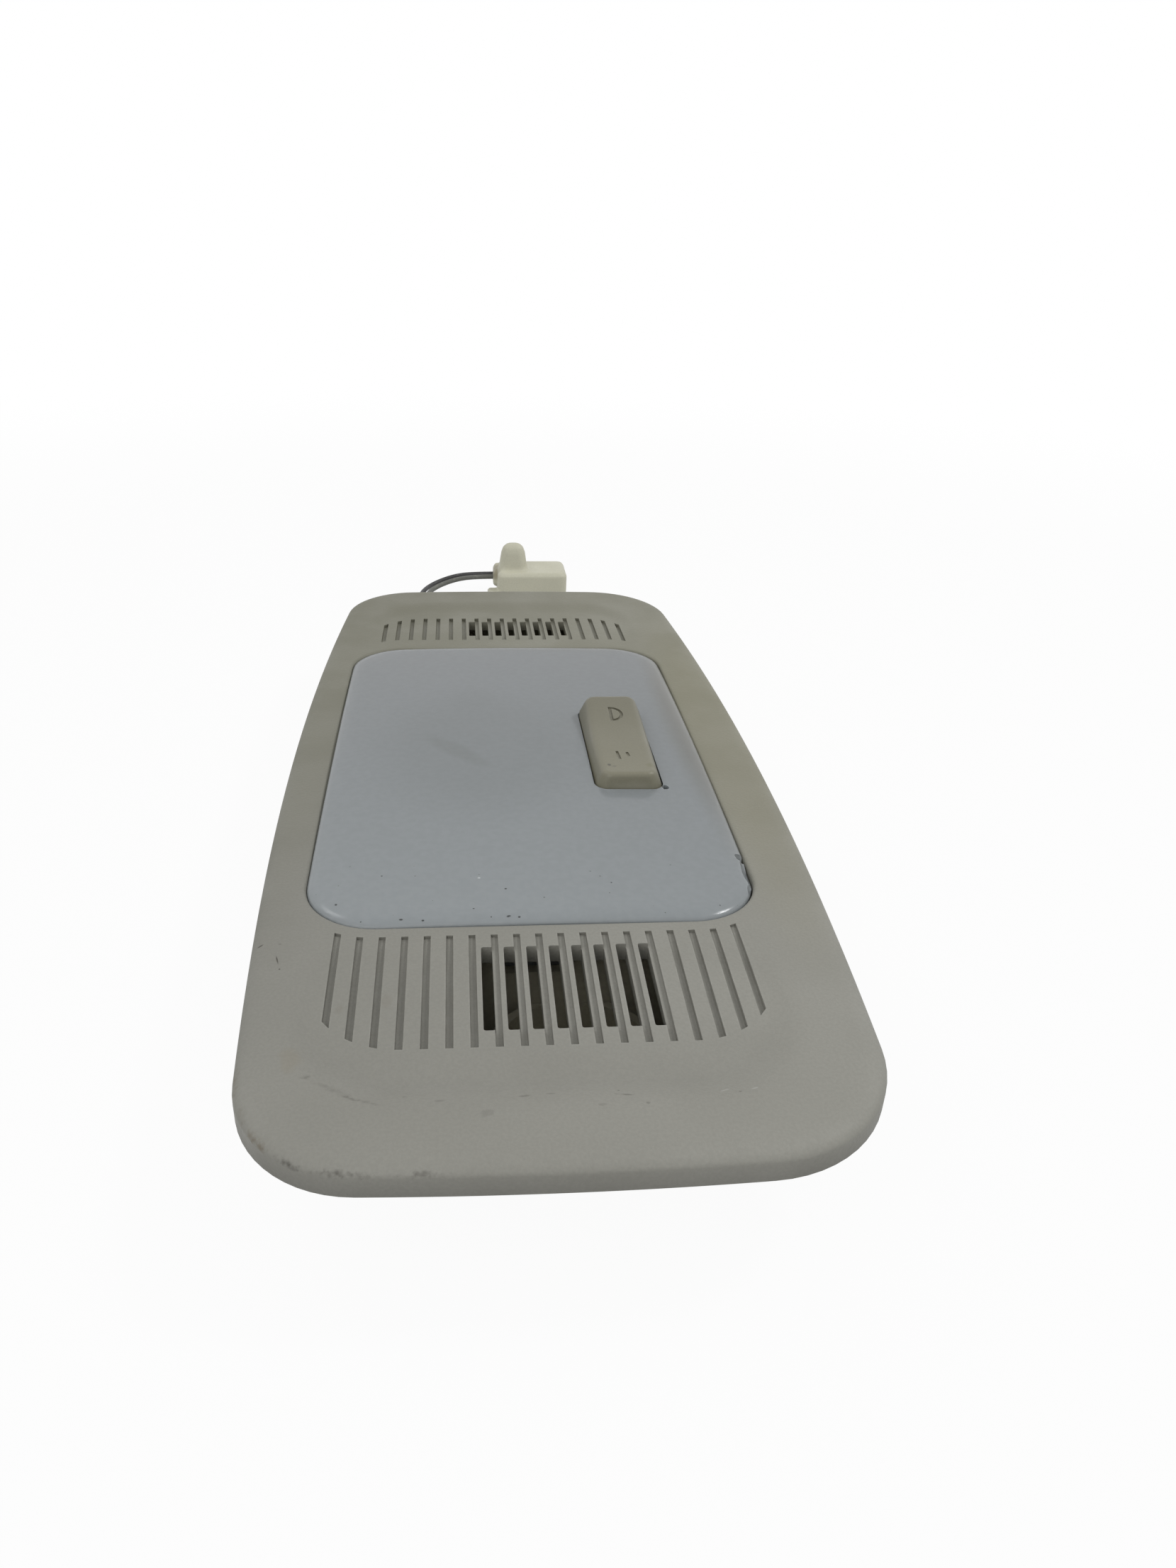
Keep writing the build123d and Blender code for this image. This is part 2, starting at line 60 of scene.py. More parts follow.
def makeCamera(setup):
    lensData = bpy.data.cameras.new("photoCamera")
    lensData.lens = setup["lens"]
    lensData.sensor_width = setup["sensor"]
    lensData.shift_x, lensData.shift_y = setup["shift"]
    lensData.clip_start = setup["nearest"]
    camera = bpy.data.objects.new("photoCamera", lensData)
    scene.collection.objects.link(camera)
    heading = Matrix.Rotation(math.radians(setup["heading"]), 4, "Z")
    pitch = Matrix.Rotation(math.radians(setup["pitch"]), 4, "X")
    roll = Matrix.Rotation(math.radians(setup["roll"]), 4, "Z")
    camera.matrix_world = Matrix.Translation(setup["place"]) @ heading @ pitch @ roll
    scene.camera = camera


makeCamera(cameraSetup)
print("camera set")


# Two wires from the grommet to the connector, laid on the table, in mm like every shape below

wires = {
    "diameter": 1.7,
    "grey": {
        "node": "wire_grey",
        "length": 117.8,
        "route": [(-14.4, 96.5, 4.2), (-14.4, 105, 4.2), (-15.4, 121, 2.0), (-18.3, 135.6, 0.9),
                  (-22.7, 151.4, 0.9), (-26.0, 167.2, 0.9), (-26.5, 180, 0.9), (-22.7, 188.2, 1.4),
                  (-15.2, 190.4, 3.6), (-7.4, 186.6, 5.8), (0.5, 186.6, 5.8)],
    },
    "black": {
        "node": "wire_black",
        "length": 122.9,
        "route": [(-17.0, 96.5, 4.2), (-17.0, 105, 4.2), (-17.8, 121, 2.0), (-20.6, 135, 0.9),
                  (-25.0, 151, 0.9), (-28.3, 167, 0.9), (-28.9, 181, 0.9), (-24.4, 191.2, 1.4),
                  (-15.8, 194.7, 3.6), (-7.4, 190.2, 5.8), (0.5, 190.2, 5.8)],
    },
}


def makeWire(name, wire, diameter):
    curve = bpy.data.curves.new(name, "CURVE")
    curve.dimensions = "3D"
    curve.bevel_depth = 1.0  # times each point's radius
    curve.bevel_resolution = 5
    curve.resolution_u = 10
    curve.use_fill_caps = True
    spline = curve.splines.new("NURBS")
    spline.points.add(len(wire["route"]) - 1)
    for point, place in zip(spline.points, wire["route"]):
        point.co = (*(Vector(place) * mm), 1.0)
        point.radius = diameter / 2 * mm
    spline.order_u = 3
    spline.use_endpoint_u = True
    piece = bpy.data.objects.new(name, curve)
    scene.collection.objects.link(piece)
    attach(piece, "lamp")
    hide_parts(wire["node"])
    return piece


greyWire = makeWire("greyWire", wires["grey"], wires["diameter"])
blackWire = makeWire("blackWire", wires["black"], wires["diameter"])
print("wires laid")


# Mesh helpers: every loop of points runs counter-clockwise from the near end of the right side

def arcRun(centre, radius, first, last, count):
    angles = np.linspace(first, last, count, endpoint=False)
    return np.column_stack((centre[0] + radius * np.cos(angles), centre[1] + radius * np.sin(angles)))


def lineRun(first, last, count):
    share = np.linspace(0, 1, count, endpoint=False)[:, None]
    return (1 - share) * np.array(first) + share * np.array(last)


# A box has a width, a length and a corner radius, with points counted along a side, a corner and an end
def boxLoop(size, centre, counts):
    width, length, radius = size
    sides, corner, ends = counts
    x = width / 2 - radius
    y = length / 2 - radius
    quarter = math.pi / 2
    runs = [lineRun((x + radius, -y), (x + radius, y), sides),
            arcRun((x, y), radius, 0, quarter, corner),
            lineRun((x, y + radius), (-x, y + radius), ends),
            arcRun((-x, y), radius, quarter, 2 * quarter, corner),
            lineRun((-x - radius, y), (-x - radius, -y), sides),
            arcRun((-x, -y), radius, 2 * quarter, 3 * quarter, corner),
            lineRun((-x, -y - radius), (x, -y - radius), ends),
            arcRun((x, -y), radius, 3 * quarter, 4 * quarter, corner)]
    return np.vstack(runs) + np.array(centre)


def lift(loop, height):
    return np.column_stack((loop, np.broadcast_to(height, len(loop))))


def spine(loop, centre, half):
    along = np.clip(loop[:, 1], centre[1] - half, centre[1] + half)
    return np.column_stack((np.full(len(loop), centre[0]), along))


def newPiece(name, points, faces):
    mesh = bpy.data.meshes.new(name)
    mesh.from_pydata((np.asarray(points) * mm).tolist(), [], faces)
    piece = bpy.data.objects.new(name, mesh)
    scene.collection.objects.link(piece)
    return piece


def ringFaces(rings, count, joined=False):
    faces = []
    for ring in range(rings if joined else rings - 1):
        low = ring * count
        high = (ring + 1) % rings * count
        for i in range(count):
            j = (i + 1) % count
            faces.append((low + i, low + j, high + j, high + i))
    return faces


def ringPiece(name, rings, joined=False):
    piece = newPiece(name, np.vstack(rings), ringFaces(len(rings), len(rings[0]), joined))
    weld(piece)
    return piece


def weld(piece):
    work = bmesh.new()
    work.from_mesh(piece.data)
    bmesh.ops.remove_doubles(work, verts=work.verts, dist=1e-7)
    bmesh.ops.dissolve_degenerate(work, edges=work.edges, dist=1e-7)
    bmesh.ops.recalc_face_normals(work, faces=work.faces)
    work.to_mesh(piece.data)
    work.free()


def prismFaces(start, count):
    faces = [tuple(start + i for i in reversed(range(count))), tuple(start + count + i for i in range(count))]
    for i in range(count):
        j = (i + 1) % count
        faces.append((start + i, start + j, start + count + j, start + count + i))
    return faces


def prisms(name, outlines):
    points = []
    faces = []
    for low, high in outlines:
        faces += prismFaces(len(points), len(low))
        points += [*low, *high]
    piece = newPiece(name, points, faces)
    weld(piece)
    return piece


def keepModifiers(piece):
    bpy.context.view_layer.update()
    shown = piece.evaluated_get(bpy.context.evaluated_depsgraph_get())
    result = bpy.data.meshes.new_from_object(shown)
    piece.modifiers.clear()
    old = piece.data
    piece.data = result
    bpy.data.meshes.remove(old)


def carve(piece, cutter, overlapping=False):
    cut = piece.modifiers.new("carve", "BOOLEAN")
    cut.operation = "DIFFERENCE"
    cut.solver = "EXACT"
    cut.use_self = overlapping
    cut.use_hole_tolerant = overlapping
    cut.object = cutter
    keepModifiers(piece)
    bpy.data.objects.remove(cutter)


def melt(piece, voxel, passes):
    remesh = piece.modifiers.new("remesh", "REMESH")
    remesh.mode = "VOXEL"
    remesh.voxel_size = voxel * mm
    soften = piece.modifiers.new("soften", "SMOOTH")
    soften.iterations = passes
    keepModifiers(piece)


def smooth(piece, angle):
    piece.data.shade_smooth()
    piece.data.set_sharp_from_angle(angle=math.radians(angle))


# Bezel: bowed outline with a rounded rim, soft dishes, grooves and see-through slots

bezelShape = {
    "width": 101.95,
    "length": 228.4,
    "sideBow": 5.7,
    "endBow": 1.7,
    "cornerLeft": 19.0,
    "cornerRight": 22.0,
    "low": 20.0,
    "top": 25.0,
    "foot": 0.3,  # bevel of the rim's lower edge
    "bend": 3.2,  # the rim rolls over this far across
    "drop": 1.6,  # and this far down
    "rimSteps": 14,
    "rimCrowd": 1.4,  # above 1 the steps crowd towards the outer side
    "wall": 2.4,
    "under": 21.6,
    "opening": (80.2, 126.4, 13.0),
    "openingMiddle": (-1.9, 1.2),
    "lip": 0.8,
    "lipSteps": 7,
    "field": -1.9,  # the grilles' middle in x
    "dishStart": 68.0,
    "dishEnd": 97.5,
    "dishHalf": 35.2,
    "dishCorner": 15.0,
    "dishDepth": {-1: 1.9, 1: 1.2},  # near and far end
    "dishSlope": 0.4,
    "dishSoft": 0.25,
    "dishFade": 12,  # starts within a twelfth of the way from the rim
    "counts": (60, 14, 40),
    "steps": 30,
}

grilleShape = {
    "grooves": 19,
    "pitch": 3.7,
    "halfFoot": 0.53,
    "halfMouth": 0.61,
    "depth": 0.85,
    "above": 0.6,  # the cutters stand out of the surface
    "reach": 90.2,
    "reachHalf": 36.5,
    "reachCorner": 14.5,
    "starts": {-1: 64.8, 1: 71.2},  # near and far end
    "startHalf": 41.5,
    "startCorner": 13.9,
    "slots": range(7, 15),
    "slotFrom": 2.29,  # left of a groove's middle
    "slotTo": 0.46,
    "slotInset": 3.3,
    "slotRound": 0.35,
    "slotSpan": (19.0, 27.0),
}


def bowedOutline(shape, radius):
    half = shape["width"] / 2
    reach = shape["length"] / 2
    sideRadius = ((reach - shape["endBow"]) ** 2 + shape["sideBow"] ** 2) / (2 * shape["sideBow"])
    endRadius = ((half - shape["sideBow"]) ** 2 + shape["endBow"] ** 2) / (2 * shape["endBow"])
    sideX = half - sideRadius
    endY = reach - endRadius
    corner = np.array([half - shape["sideBow"] - radius, reach - shape["endBow"] - radius])
    for _ in range(30):  # the corner's arc touches the side's and the end's
        fromSide = corner - (sideX, 0)
        fromEnd = corner - (0, endY)
        off = np.array([np.hypot(*fromSide) - sideRadius, np.hypot(*fromEnd) - endRadius]) + radius
        slopes = np.array([fromSide / np.hypot(*fromSide), fromEnd / np.hypot(*fromEnd)])
        corner = corner - np.linalg.solve(slopes, off)
    sideTurn = math.atan2(corner[1], corner[0] - sideX)
    endTurn = math.atan2(corner[0], corner[1] - endY)
    return sideRadius, sideX, sideTurn, endRadius, endY, endTurn, corner


def bowedLoop(shape, inset):
    outline = bowedOutline(shape, shape["cornerRight"])
    sideRadius, sideX, rightTurn, endRadius, endY, farRight, (x, y) = outline
    _, _, leftTurn, _, _, farLeft, (leftX, leftY) = bowedOutline(shape, shape["cornerLeft"])
    sides, corner, ends = shape["counts"]
    side = sideRadius - inset
    end = endRadius - inset
    right = shape["cornerRight"] - inset
    left = shape["cornerLeft"] - inset
    flat = math.pi
    up = flat / 2
    runs = [arcRun((sideX, 0), side, -rightTurn, rightTurn, sides),
            arcRun((x, y), right, rightTurn, up - farRight, corner),
            arcRun((0, endY), end, up - farRight, up + farLeft, ends),
            arcRun((-leftX, leftY), left, up + farLeft, flat - leftTurn, corner),
            arcRun((-sideX, 0), side, flat - leftTurn, flat + leftTurn, sides),
            arcRun((-leftX, -leftY), left, flat + leftTurn, flat + up - farLeft, corner),
            arcRun((0, -endY), end, flat + up - farLeft, flat + up + farRight, ends),
            arcRun((x, -y), right, flat + up + farRight, 2 * flat - rightTurn, corner)]
    return np.vstack(runs)


def dishDepth(loop, shape):
    across = np.abs(loop[:, 0] - shape["field"]) - shape["dishHalf"] + shape["dishCorner"]
    along = np.abs(loop[:, 1]) - shape["dishEnd"] + shape["dishCorner"]
    outside = np.hypot(np.maximum(across, 0), np.maximum(along, 0)) - shape["dishCorner"]
    run = (np.abs(loop[:, 1]) - shape["dishStart"]) / (shape["dishEnd"] - shape["dishStart"])
    deep = np.where(loop[:, 1] < 0, shape["dishDepth"][-1], shape["dishDepth"][1])
    sunk = deep * run - shape["dishSlope"] * np.maximum(outside, 0)
    return (sunk + np.sqrt(sunk ** 2 + shape["dishSoft"] ** 2)) / 2


def bezelRings(shape):
    top = shape["top"]
    wide, long, corner = shape["opening"]

    def openLoop(grow):
        size = (wide + 2 * grow, long + 2 * grow, corner + grow)
        return boxLoop(size, shape["openingMiddle"], shape["counts"])

    outer = bowedLoop(shape, 0)
    low = shape["low"]
    foot = shape["foot"]
    rings = [lift(bowedLoop(shape, shape["wall"]), low), lift(bowedLoop(shape, foot), low),
             lift(outer, low + foot), lift(outer, top - shape["drop"])]
    for turn in math.pi / 2 * np.linspace(0, 1, shape["rimSteps"])[1:] ** shape["rimCrowd"]:
        inset = shape["bend"] * (1 - math.cos(turn))
        rings.append(lift(bowedLoop(shape, inset), top - shape["drop"] * (1 - math.sin(turn))))
    rim = bowedLoop(shape, shape["bend"])
    mouth = openLoop(shape["lip"])
    for share in np.linspace(0, 1, shape["steps"])[1:]:
        loop = (1 - share) * rim + share * mouth
        rings.append(lift(loop, top - dishDepth(loop, shape) * min(1, share * shape["dishFade"])))
    for turn in np.linspace(0, math.pi / 2, shape["lipSteps"])[1:]:
        loop = openLoop(shape["lip"] * (1 - math.sin(turn)))
        rings.append(lift(loop, top - dishDepth(loop, shape) - shape["lip"] * (1 - math.cos(turn))))
    rings.append(lift(openLoop(0), shape["under"]))
    rings.append(lift(bowedLoop(shape, shape["wall"]), shape["under"]))
    return rings


def edgeAlong(x, half, reach, corner):
    over = max(0.0, abs(x) - half + corner)
    return reach - corner + math.sqrt(corner ** 2 - over ** 2)


def grooveCutters(shape, grille):
    outlines = []
    middle = (grille["grooves"] - 1) / 2
    run = shape["dishEnd"] - shape["dishStart"]
    levels = ((grille["halfFoot"], grille["depth"]), (grille["halfMouth"], -grille["above"]))
    for end, start in grille["starts"].items():
        for i in range(grille["grooves"]):
            x = (i - middle) * grille["pitch"]
            rows = []
            for half, deep in levels:
                row = []
                for side in (-1, 1):
                    at = x + side * half
                    inner = edgeAlong(at, grille["startHalf"], start, grille["startCorner"])
                    outer = edgeAlong(at, grille["reachHalf"], grille["reach"], grille["reachCorner"])
                    for y in (inner, outer)[::-side]:
                        sunk = shape["dishDepth"][end] * (y - shape["dishStart"]) / run
                        row.append((at + shape["field"], end * y, shape["top"] - sunk - deep))
                rows.append(row)
            outlines.append(rows)
    return prisms("grooveCutters", outlines)


def slotCutters(shape, grille):
    outlines = []
    middle = (grille["grooves"] - 1) / 2
    low, high = grille["slotSpan"]
    for end, start in grille["starts"].items():
        inner = start + grille["slotInset"]
        outer = grille["reach"] - grille["slotInset"]
        for i in grille["slots"]:
            x = shape["field"] + (i - middle) * grille["pitch"]
            wide = grille["slotFrom"] - grille["slotTo"]
            centre = (x - (grille["slotFrom"] + grille["slotTo"]) / 2, end * (inner + outer) / 2)
            loop = boxLoop((wide, outer - inner, grille["slotRound"]), centre, (2, 4, 2))
            outlines.append((lift(loop, low), lift(loop, high)))
    return prisms("slotCutters", outlines)


bezelPiece = ringPiece("bezelPiece", bezelRings(bezelShape), joined=True)
carve(bezelPiece, grooveCutters(bezelShape, grilleShape))
carve(bezelPiece, slotCutters(bezelShape, grilleShape))
smooth(bezelPiece, 32)
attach(bezelPiece, "lamp")
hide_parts("bezel")
print("bezel shaped:", len(bezelPiece.data.polygons), "faces")


# Lens: a thin crowned shell with the rocker's opening and the chipped right edge

lensShape = {
    "size": (79.9, 126.16, 12.88),
    "middle": (-2.0, 1.2),
    "top": 27.6,
    "ball": 1092.9,  # radius of the crown
    "roll": 3.4,  # the edge rolls over this far across
    "lip": 1.2,  # and this far down
    "seat": 15.0,
    "wall": 2.0,
    "counts": (44, 12, 28),
    "rollSteps": 8,
    "crownSteps": 16,
    "window": (14.4, 38.1, 2.7),
    "windowMiddle": (20.08, -0.6),
    "windowSpan": (20, 30),
    "chips": [((38.2, -43.6, 25.6), (2.0, 1.2, 1.9)), ((38.3, -48.5, 25.6), (1.7, 5.5, 1.9)),
              ((37.6, -55.0, 25.4), (1.3, 3.5, 1.7)), ((27.5, -18.8, 27.0), (0.7, 0.9, 2.4))],
    "chipRough": 0.22,
    "chipScale": 1.7,
}


def crown(loop, shape):
    away = ((loop - np.array(shape["middle"])) ** 2).sum(axis=1)
    return shape["top"] - away / (2 * shape["ball"])


def lensRings(shape, inset):
    wide, long, corner = shape["size"]
    roll = shape["roll"]

    def edge(more):
        size = (wide - 2 * inset - 2 * more, long - 2 * inset - 2 * more, corner - inset - more)
        return boxLoop(size, shape["middle"], shape["counts"])

    rings = [lift(edge(0), shape["seat"])]
    for turn in np.linspace(0, math.pi / 2, shape["rollSteps"]):
        loop = edge(roll * (1 - math.cos(turn)))
        rings.append(lift(loop, crown(loop, shape) - inset - shape["lip"] * (1 - math.sin(turn))))
    flat = edge(roll)
    line = spine(flat, shape["middle"], (long - wide) / 2)
    for share in np.linspace(0, 1, shape["crownSteps"])[1:]:
        loop = (1 - share) * flat + share * line
        rings.append(lift(loop, crown(loop, shape) - inset))
    return rings


def chipLumps(shape):
    points = []
    faces = []
    for at, half in shape["chips"]:
        ball = bmesh.new()
        bmesh.ops.create_icosphere(ball, subdivisions=3, radius=1.0)
        start = len(points)
        for vert in ball.verts:
            rough = 1 + shape["chipRough"] * noise.noise(vert.co * shape["chipScale"] + Vector(at))
            points.append([c + h * v * rough for c, h, v in zip(at, half, vert.co)])
        faces += [tuple(start + v.index for v in face.verts) for face in ball.faces]
        ball.free()
    return newPiece("chipLumps", points, faces)


inside = lensRings(lensShape, lensShape["wall"])
outside = lensRings(lensShape, 0)
lensPiece = ringPiece("lensPiece", inside[::-1] + outside)
windowLoop = boxLoop(lensShape["window"], lensShape["windowMiddle"], (2, 8, 2))
carve(lensPiece, prisms("windowCutter", [[lift(windowLoop, z) for z in lensShape["windowSpan"]]]))
carve(lensPiece, chipLumps(lensShape), overlapping=True)
smooth(lensPiece, 32)
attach(lensPiece, "lamp")
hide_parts("lens")
print("lens shaped:", len(lensPiece.data.polygons), "faces")


# Rocker: tapered cap with a hollowed top, engraved marks, skirt, nib and pivot pin

rockerShape = {
    "pivot": (19.4, -1.7, 19.5),  # heights below are from here
    "aside": 0.68,  # the cap stands a little off the pivot
    "farther": 1.1,
    "tilt": 3.2,
    "low": (13.9, 36.6, 2.4),
    "high": (10.8, 34.8, 1.9),
    "bottom": 4.1,
    "shoulder": 8.1,
    "top": 11.75,
    "hollow": 0.9,
    "edge": 1.0,
    "skirt": (12.6, 26.0, 1.8),
    "skirtInside": (9.4, 22.4, 0.9),
    "skirtRidge": 6.0,
    "skirtLow": -3.0,
    "nib": (11.2, 3.0, 0.75),
    "nibSpan": (-5.0, 9.0),
    "pinRadius": 1.5,
    "pinHalf": 9.4,
    "pinSides": 40,
    "counts": (32, 8, 14),
    "steps": 9,
    "markLine": 0.7,
    "markDepth": 0.36,
    "markSteps": 22,
    "bow": {"stem": -0.65, "place": 9.4, "half": 2.6, "reach": 2.4},
    "strokes": [((-1.48, -7.1), (-1.23, -10.7), 0.6, 0.3), ((0.6, -7.6), (0.83, -9.4), 0.6, 0.25)],
}


def rockerTop(along, shape):
    return shape["top"] - shape["hollow"] * (1 - np.minimum((along / (shape["high"][1] / 2)) ** 2, 1))


def rockerRings(shape):
    counts = shape["counts"]
    low = boxLoop(shape["low"], (0, 0), counts)
    high = boxLoop(shape["high"], (0, 0), counts)
    wide, long, corner = shape["high"]
    cut = shape["edge"]
    flat = boxLoop((wide - 2 * cut, long - 2 * cut, corner - cut), (0, 0), counts)
    skirt = boxLoop(shape["skirt"], (0, 0), counts)
    hollow = boxLoop(shape["skirtInside"], (0, 0), counts)
    line = spine(hollow, (0, 0), shape["skirtRidge"])
    rings = [lift((1 - s) * line + s * hollow, shape["shoulder"]) for s in (0, 0.5, 1)]
    rings += [lift(hollow, shape["skirtLow"]), lift(skirt, shape["skirtLow"]), lift(skirt, shape["bottom"]),
              lift(low, shape["bottom"]), lift(low, shape["shoulder"])]

    def side(drop):
        height = rockerTop(high[:, 1], shape) - drop
        share = ((height - shape["shoulder"]) / (shape["top"] - shape["shoulder"]))[:, None]
        return lift((1 - share) * low + share * high, height)

    start = side(cut)
    peak = side(0)
    end = lift(flat, rockerTop(flat[:, 1], shape))
    for t in np.linspace(0, 1, shape["steps"]):
        rings.append((1 - t) ** 2 * start + 2 * t * (1 - t) * peak + t ** 2 * end)
    line = spine(flat, (0, 0), (long - wide) / 2)
    for share in np.linspace(0, 1, shape["steps"])[1:]:
        loop = (1 - share) * flat + share * line
        rings.append(lift(loop, rockerTop(loop[:, 1], shape)))
    return rings


def strokePrism(first, last, wide, deep, shape):
    first = np.array(first)
    last = np.array(last)
    ahead = (last - first) / np.hypot(*(last - first))
    aside = np.array([-ahead[1], ahead[0]]) * wide / 2
    loop = np.array([first - aside, last - aside, last + aside, first + aside])
    return lift(loop, rockerTop(loop[:, 1], shape) - deep), lift(loop, shape["top"] + 1)


def markCutters(shape):
    bow = shape["bow"]
    line = shape["markLine"] / 2
    turns = np.linspace(-math.pi / 2, math.pi / 2, shape["markSteps"])

    def outline(grow):
        x = bow["stem"] + (bow["reach"] + grow) * np.cos(turns)
        y = bow["place"] + (bow["half"] + grow) * np.sin(turns)
        x[0] = x[-1] = bow["stem"] - grow
        return np.column_stack((x, y))

    outer = outline(line)
    inner = outline(-line)
    deep = shape["markDepth"]
    rows = [lift(outer, rockerTop(outer[:, 1], shape) - deep), lift(outer, shape["top"] + 1),
            lift(inner, shape["top"] + 1), lift(inner, rockerTop(inner[:, 1], shape) - deep)]
    faces = ringFaces(len(rows), len(turns), joined=True)
    points = [*np.vstack(rows)]
    for first, last, wide, depth in shape["strokes"]:
        low, high = strokePrism(first, last, wide, depth, shape)
        faces += prismFaces(len(points), len(low))
        points += [*low, *high]
    piece = newPiece("markCutters", points, faces)
    weld(piece)
    return piece


def addShells(piece, shape):
    work = bmesh.new()
    work.from_mesh(piece.data)
    for vert in work.verts:
        vert.co += Vector((shape["aside"], shape["farther"], 0)) * mm
    nib = boxLoop(shape["nib"], (0, 0), (2, 4, 4))
    pin = arcRun((0, 0), shape["pinRadius"], 0, 2 * math.pi, shape["pinSides"])
    ends = [np.column_stack((np.full(len(pin), x), pin)) for x in (-shape["pinHalf"], shape["pinHalf"])]
    for rows in ([lift(nib, z) for z in shape["nibSpan"]], ends):
        verts = [work.verts.new(Vector(p) * mm) for row in rows for p in row]
        for face in prismFaces(0, len(rows[0])):
            work.faces.new([verts[i] for i in face])
    tilt = Matrix.Rotation(math.radians(shape["tilt"]), 4, "X")
    place = Matrix.Translation(Vector(shape["pivot"]) * mm)
    bmesh.ops.transform(work, matrix=place @ tilt, verts=work.verts)
    work.to_mesh(piece.data)
    work.free()


rockerPiece = ringPiece("rockerPiece", rockerRings(rockerShape))
carve(rockerPiece, markCutters(rockerShape), overlapping=True)
addShells(rockerPiece, rockerShape)
smooth(rockerPiece, 32)
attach(rockerPiece, "switch_rocker")
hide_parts("rocker")
print("rocker shaped:", len(rockerPiece.data.polygons), "faces")


# Connector: each lump has a middle, then the height, width, length and corner of its levels

connectorShape = {
    "voxel": 0.35,
    "passes": 7,
    "counts": (3, 5, 3),
    "block": ((13.15, 184.1), [(0.2, 24.9, 16.4, 1.8), (0.8, 25.7, 17.2, 2.2), (9.1, 25.7, 17.2, 2.2),
                               (10.4, 23.6, 15.2, 1.6)]),
    "tongue": ((6.1, 182.6), [(6.0, 11.8, 8.4, 2.4), (10.2, 11.6, 8.0, 2.6), (11.6, 10.4, 7.0, 2.8),
                              (16.8, 8.8, 6.2, 2.8), (18.6, 7.4, 5.2, 2.3), (19.6, 5.2, 3.4, 1.5),
                              (20.0, 3.0, 1.8, 0.8)]),
    "foot": ((0.5, 178.25), [(0.2, 7.6, 5.1, 0.7), (2.8, 8.0, 5.5, 0.9), (3.5, 7.2, 4.8, 0.7)]),
    "collar": ((0.4, 187.2), [(3.2, 2.2, 8.4, 0.9), (4.0, 3.4, 10.2, 1.4), (8.4, 3.0, 10.2, 1.3),
                              (9.8, 1.4, 8.6, 0.6)]),
    "socket": (14.5, 3.2, 0.3),
    "socketMiddles": [(19.75, 186.6), (19.75, 190.2)],
    "socketSpan": (4.7, 6.9),
}


def connectorLumps(shape):
    outlines = []
    for lump in ("block", "tongue", "foot", "collar"):
        middle, levels = shape[lump]
        rings = [lift(boxLoop(level[1:], middle, shape["counts"]), level[0]) for level in levels]
        outlines += list(zip(rings[:-1], rings[1:]))
    return prisms("connectorPiece", outlines)


def socketCutters(shape):
    loops = [boxLoop(shape["socket"], middle, (2, 3, 2)) for middle in shape["socketMiddles"]]
    return prisms("socketCutters", [[lift(loop, z) for z in shape["socketSpan"]] for loop in loops])


connectorPiece = connectorLumps(connectorShape)
melt(connectorPiece, connectorShape["voxel"], connectorShape["passes"])
carve(connectorPiece, socketCutters(connectorShape))
smooth(connectorPiece, 40)
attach(connectorPiece, "lamp")
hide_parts("connector_body")
print("connector shaped:", len(connectorPiece.data.polygons), "faces")


# Small helpers for shader trees

def feed(tree, node, feeds):
    for name, value in feeds.items():
        if isinstance(value, bpy.types.NodeSocket):
            tree.links.new(value, node.inputs[name])
        else:
            node.inputs[name].default_value = value


def put(tree, kind, feeds=None, **settings):
    node = tree.nodes.new(kind)
    for name, value in settings.items():
        setattr(node, name, value)
    feed(tree, node, feeds or {})
    return node


def maths(tree, operation, first, second):
    return put(tree, "ShaderNodeMath", {0: first, 1: second}, operation=operation).outputs[0]


def times(tree, first, second):
    return maths(tree, "MULTIPLY", first, second)


def vectors(tree, operation, first, second=(0.0, 0.0, 0.0)):
    node = put(tree, "ShaderNodeVectorMath", {0: first, 1: second}, operation=operation)
    return node.outputs["Value" if operation in ("DOT_PRODUCT", "LENGTH") else "Vector"]


def turned(tree, place, turn):
    feeds = {"Vector": place, "Rotation": turn}
    return put(tree, "ShaderNodeVectorRotate", feeds, rotation_type="EULER_XYZ").outputs[0]


def clouds(tree, place, scale, detail, roughness=0.5):
    feeds = {"Vector": place, "Scale": scale, "Detail": detail, "Roughness": roughness}
    return put(tree, "ShaderNodeTexNoise", feeds).outputs["Fac"]


def between(tree, value, low, high, lowOut=0.0, highOut=1.0, curve="SMOOTHSTEP"):
    feeds = {"Value": value, "From Min": low, "From Max": high, "To Min": lowOut, "To Max": highOut}
    return put(tree, "ShaderNodeMapRange", feeds, interpolation_type=curve).outputs["Result"]


def tint(tree, share, first, second):
    feeds = {0: share, 6: first, 7: second}
    return put(tree, "ShaderNodeMix", feeds, data_type="RGBA").outputs[2]


def startGroup(name, inputs):
    tree = bpy.data.node_groups.new(name, "ShaderNodeTree")
    tree.interface.new_socket(name="Place", in_out="INPUT", socket_type="NodeSocketVector")
    for label, value in inputs.items():
        kind = "NodeSocketVector" if isinstance(value, tuple) else "NodeSocketFloat"
        tree.interface.new_socket(name=label, in_out="INPUT", socket_type=kind).default_value = value
    given = put(tree, "NodeGroupInput").outputs
    return tree, given["Place"], given


def endGroup(tree, results):
    for label in results:
        tree.interface.new_socket(name=label, in_out="OUTPUT", socket_type="NodeSocketFloat")
    put(tree, "NodeGroupOutput", results)
    return tree


# Shared effects, each a group with its own sockets

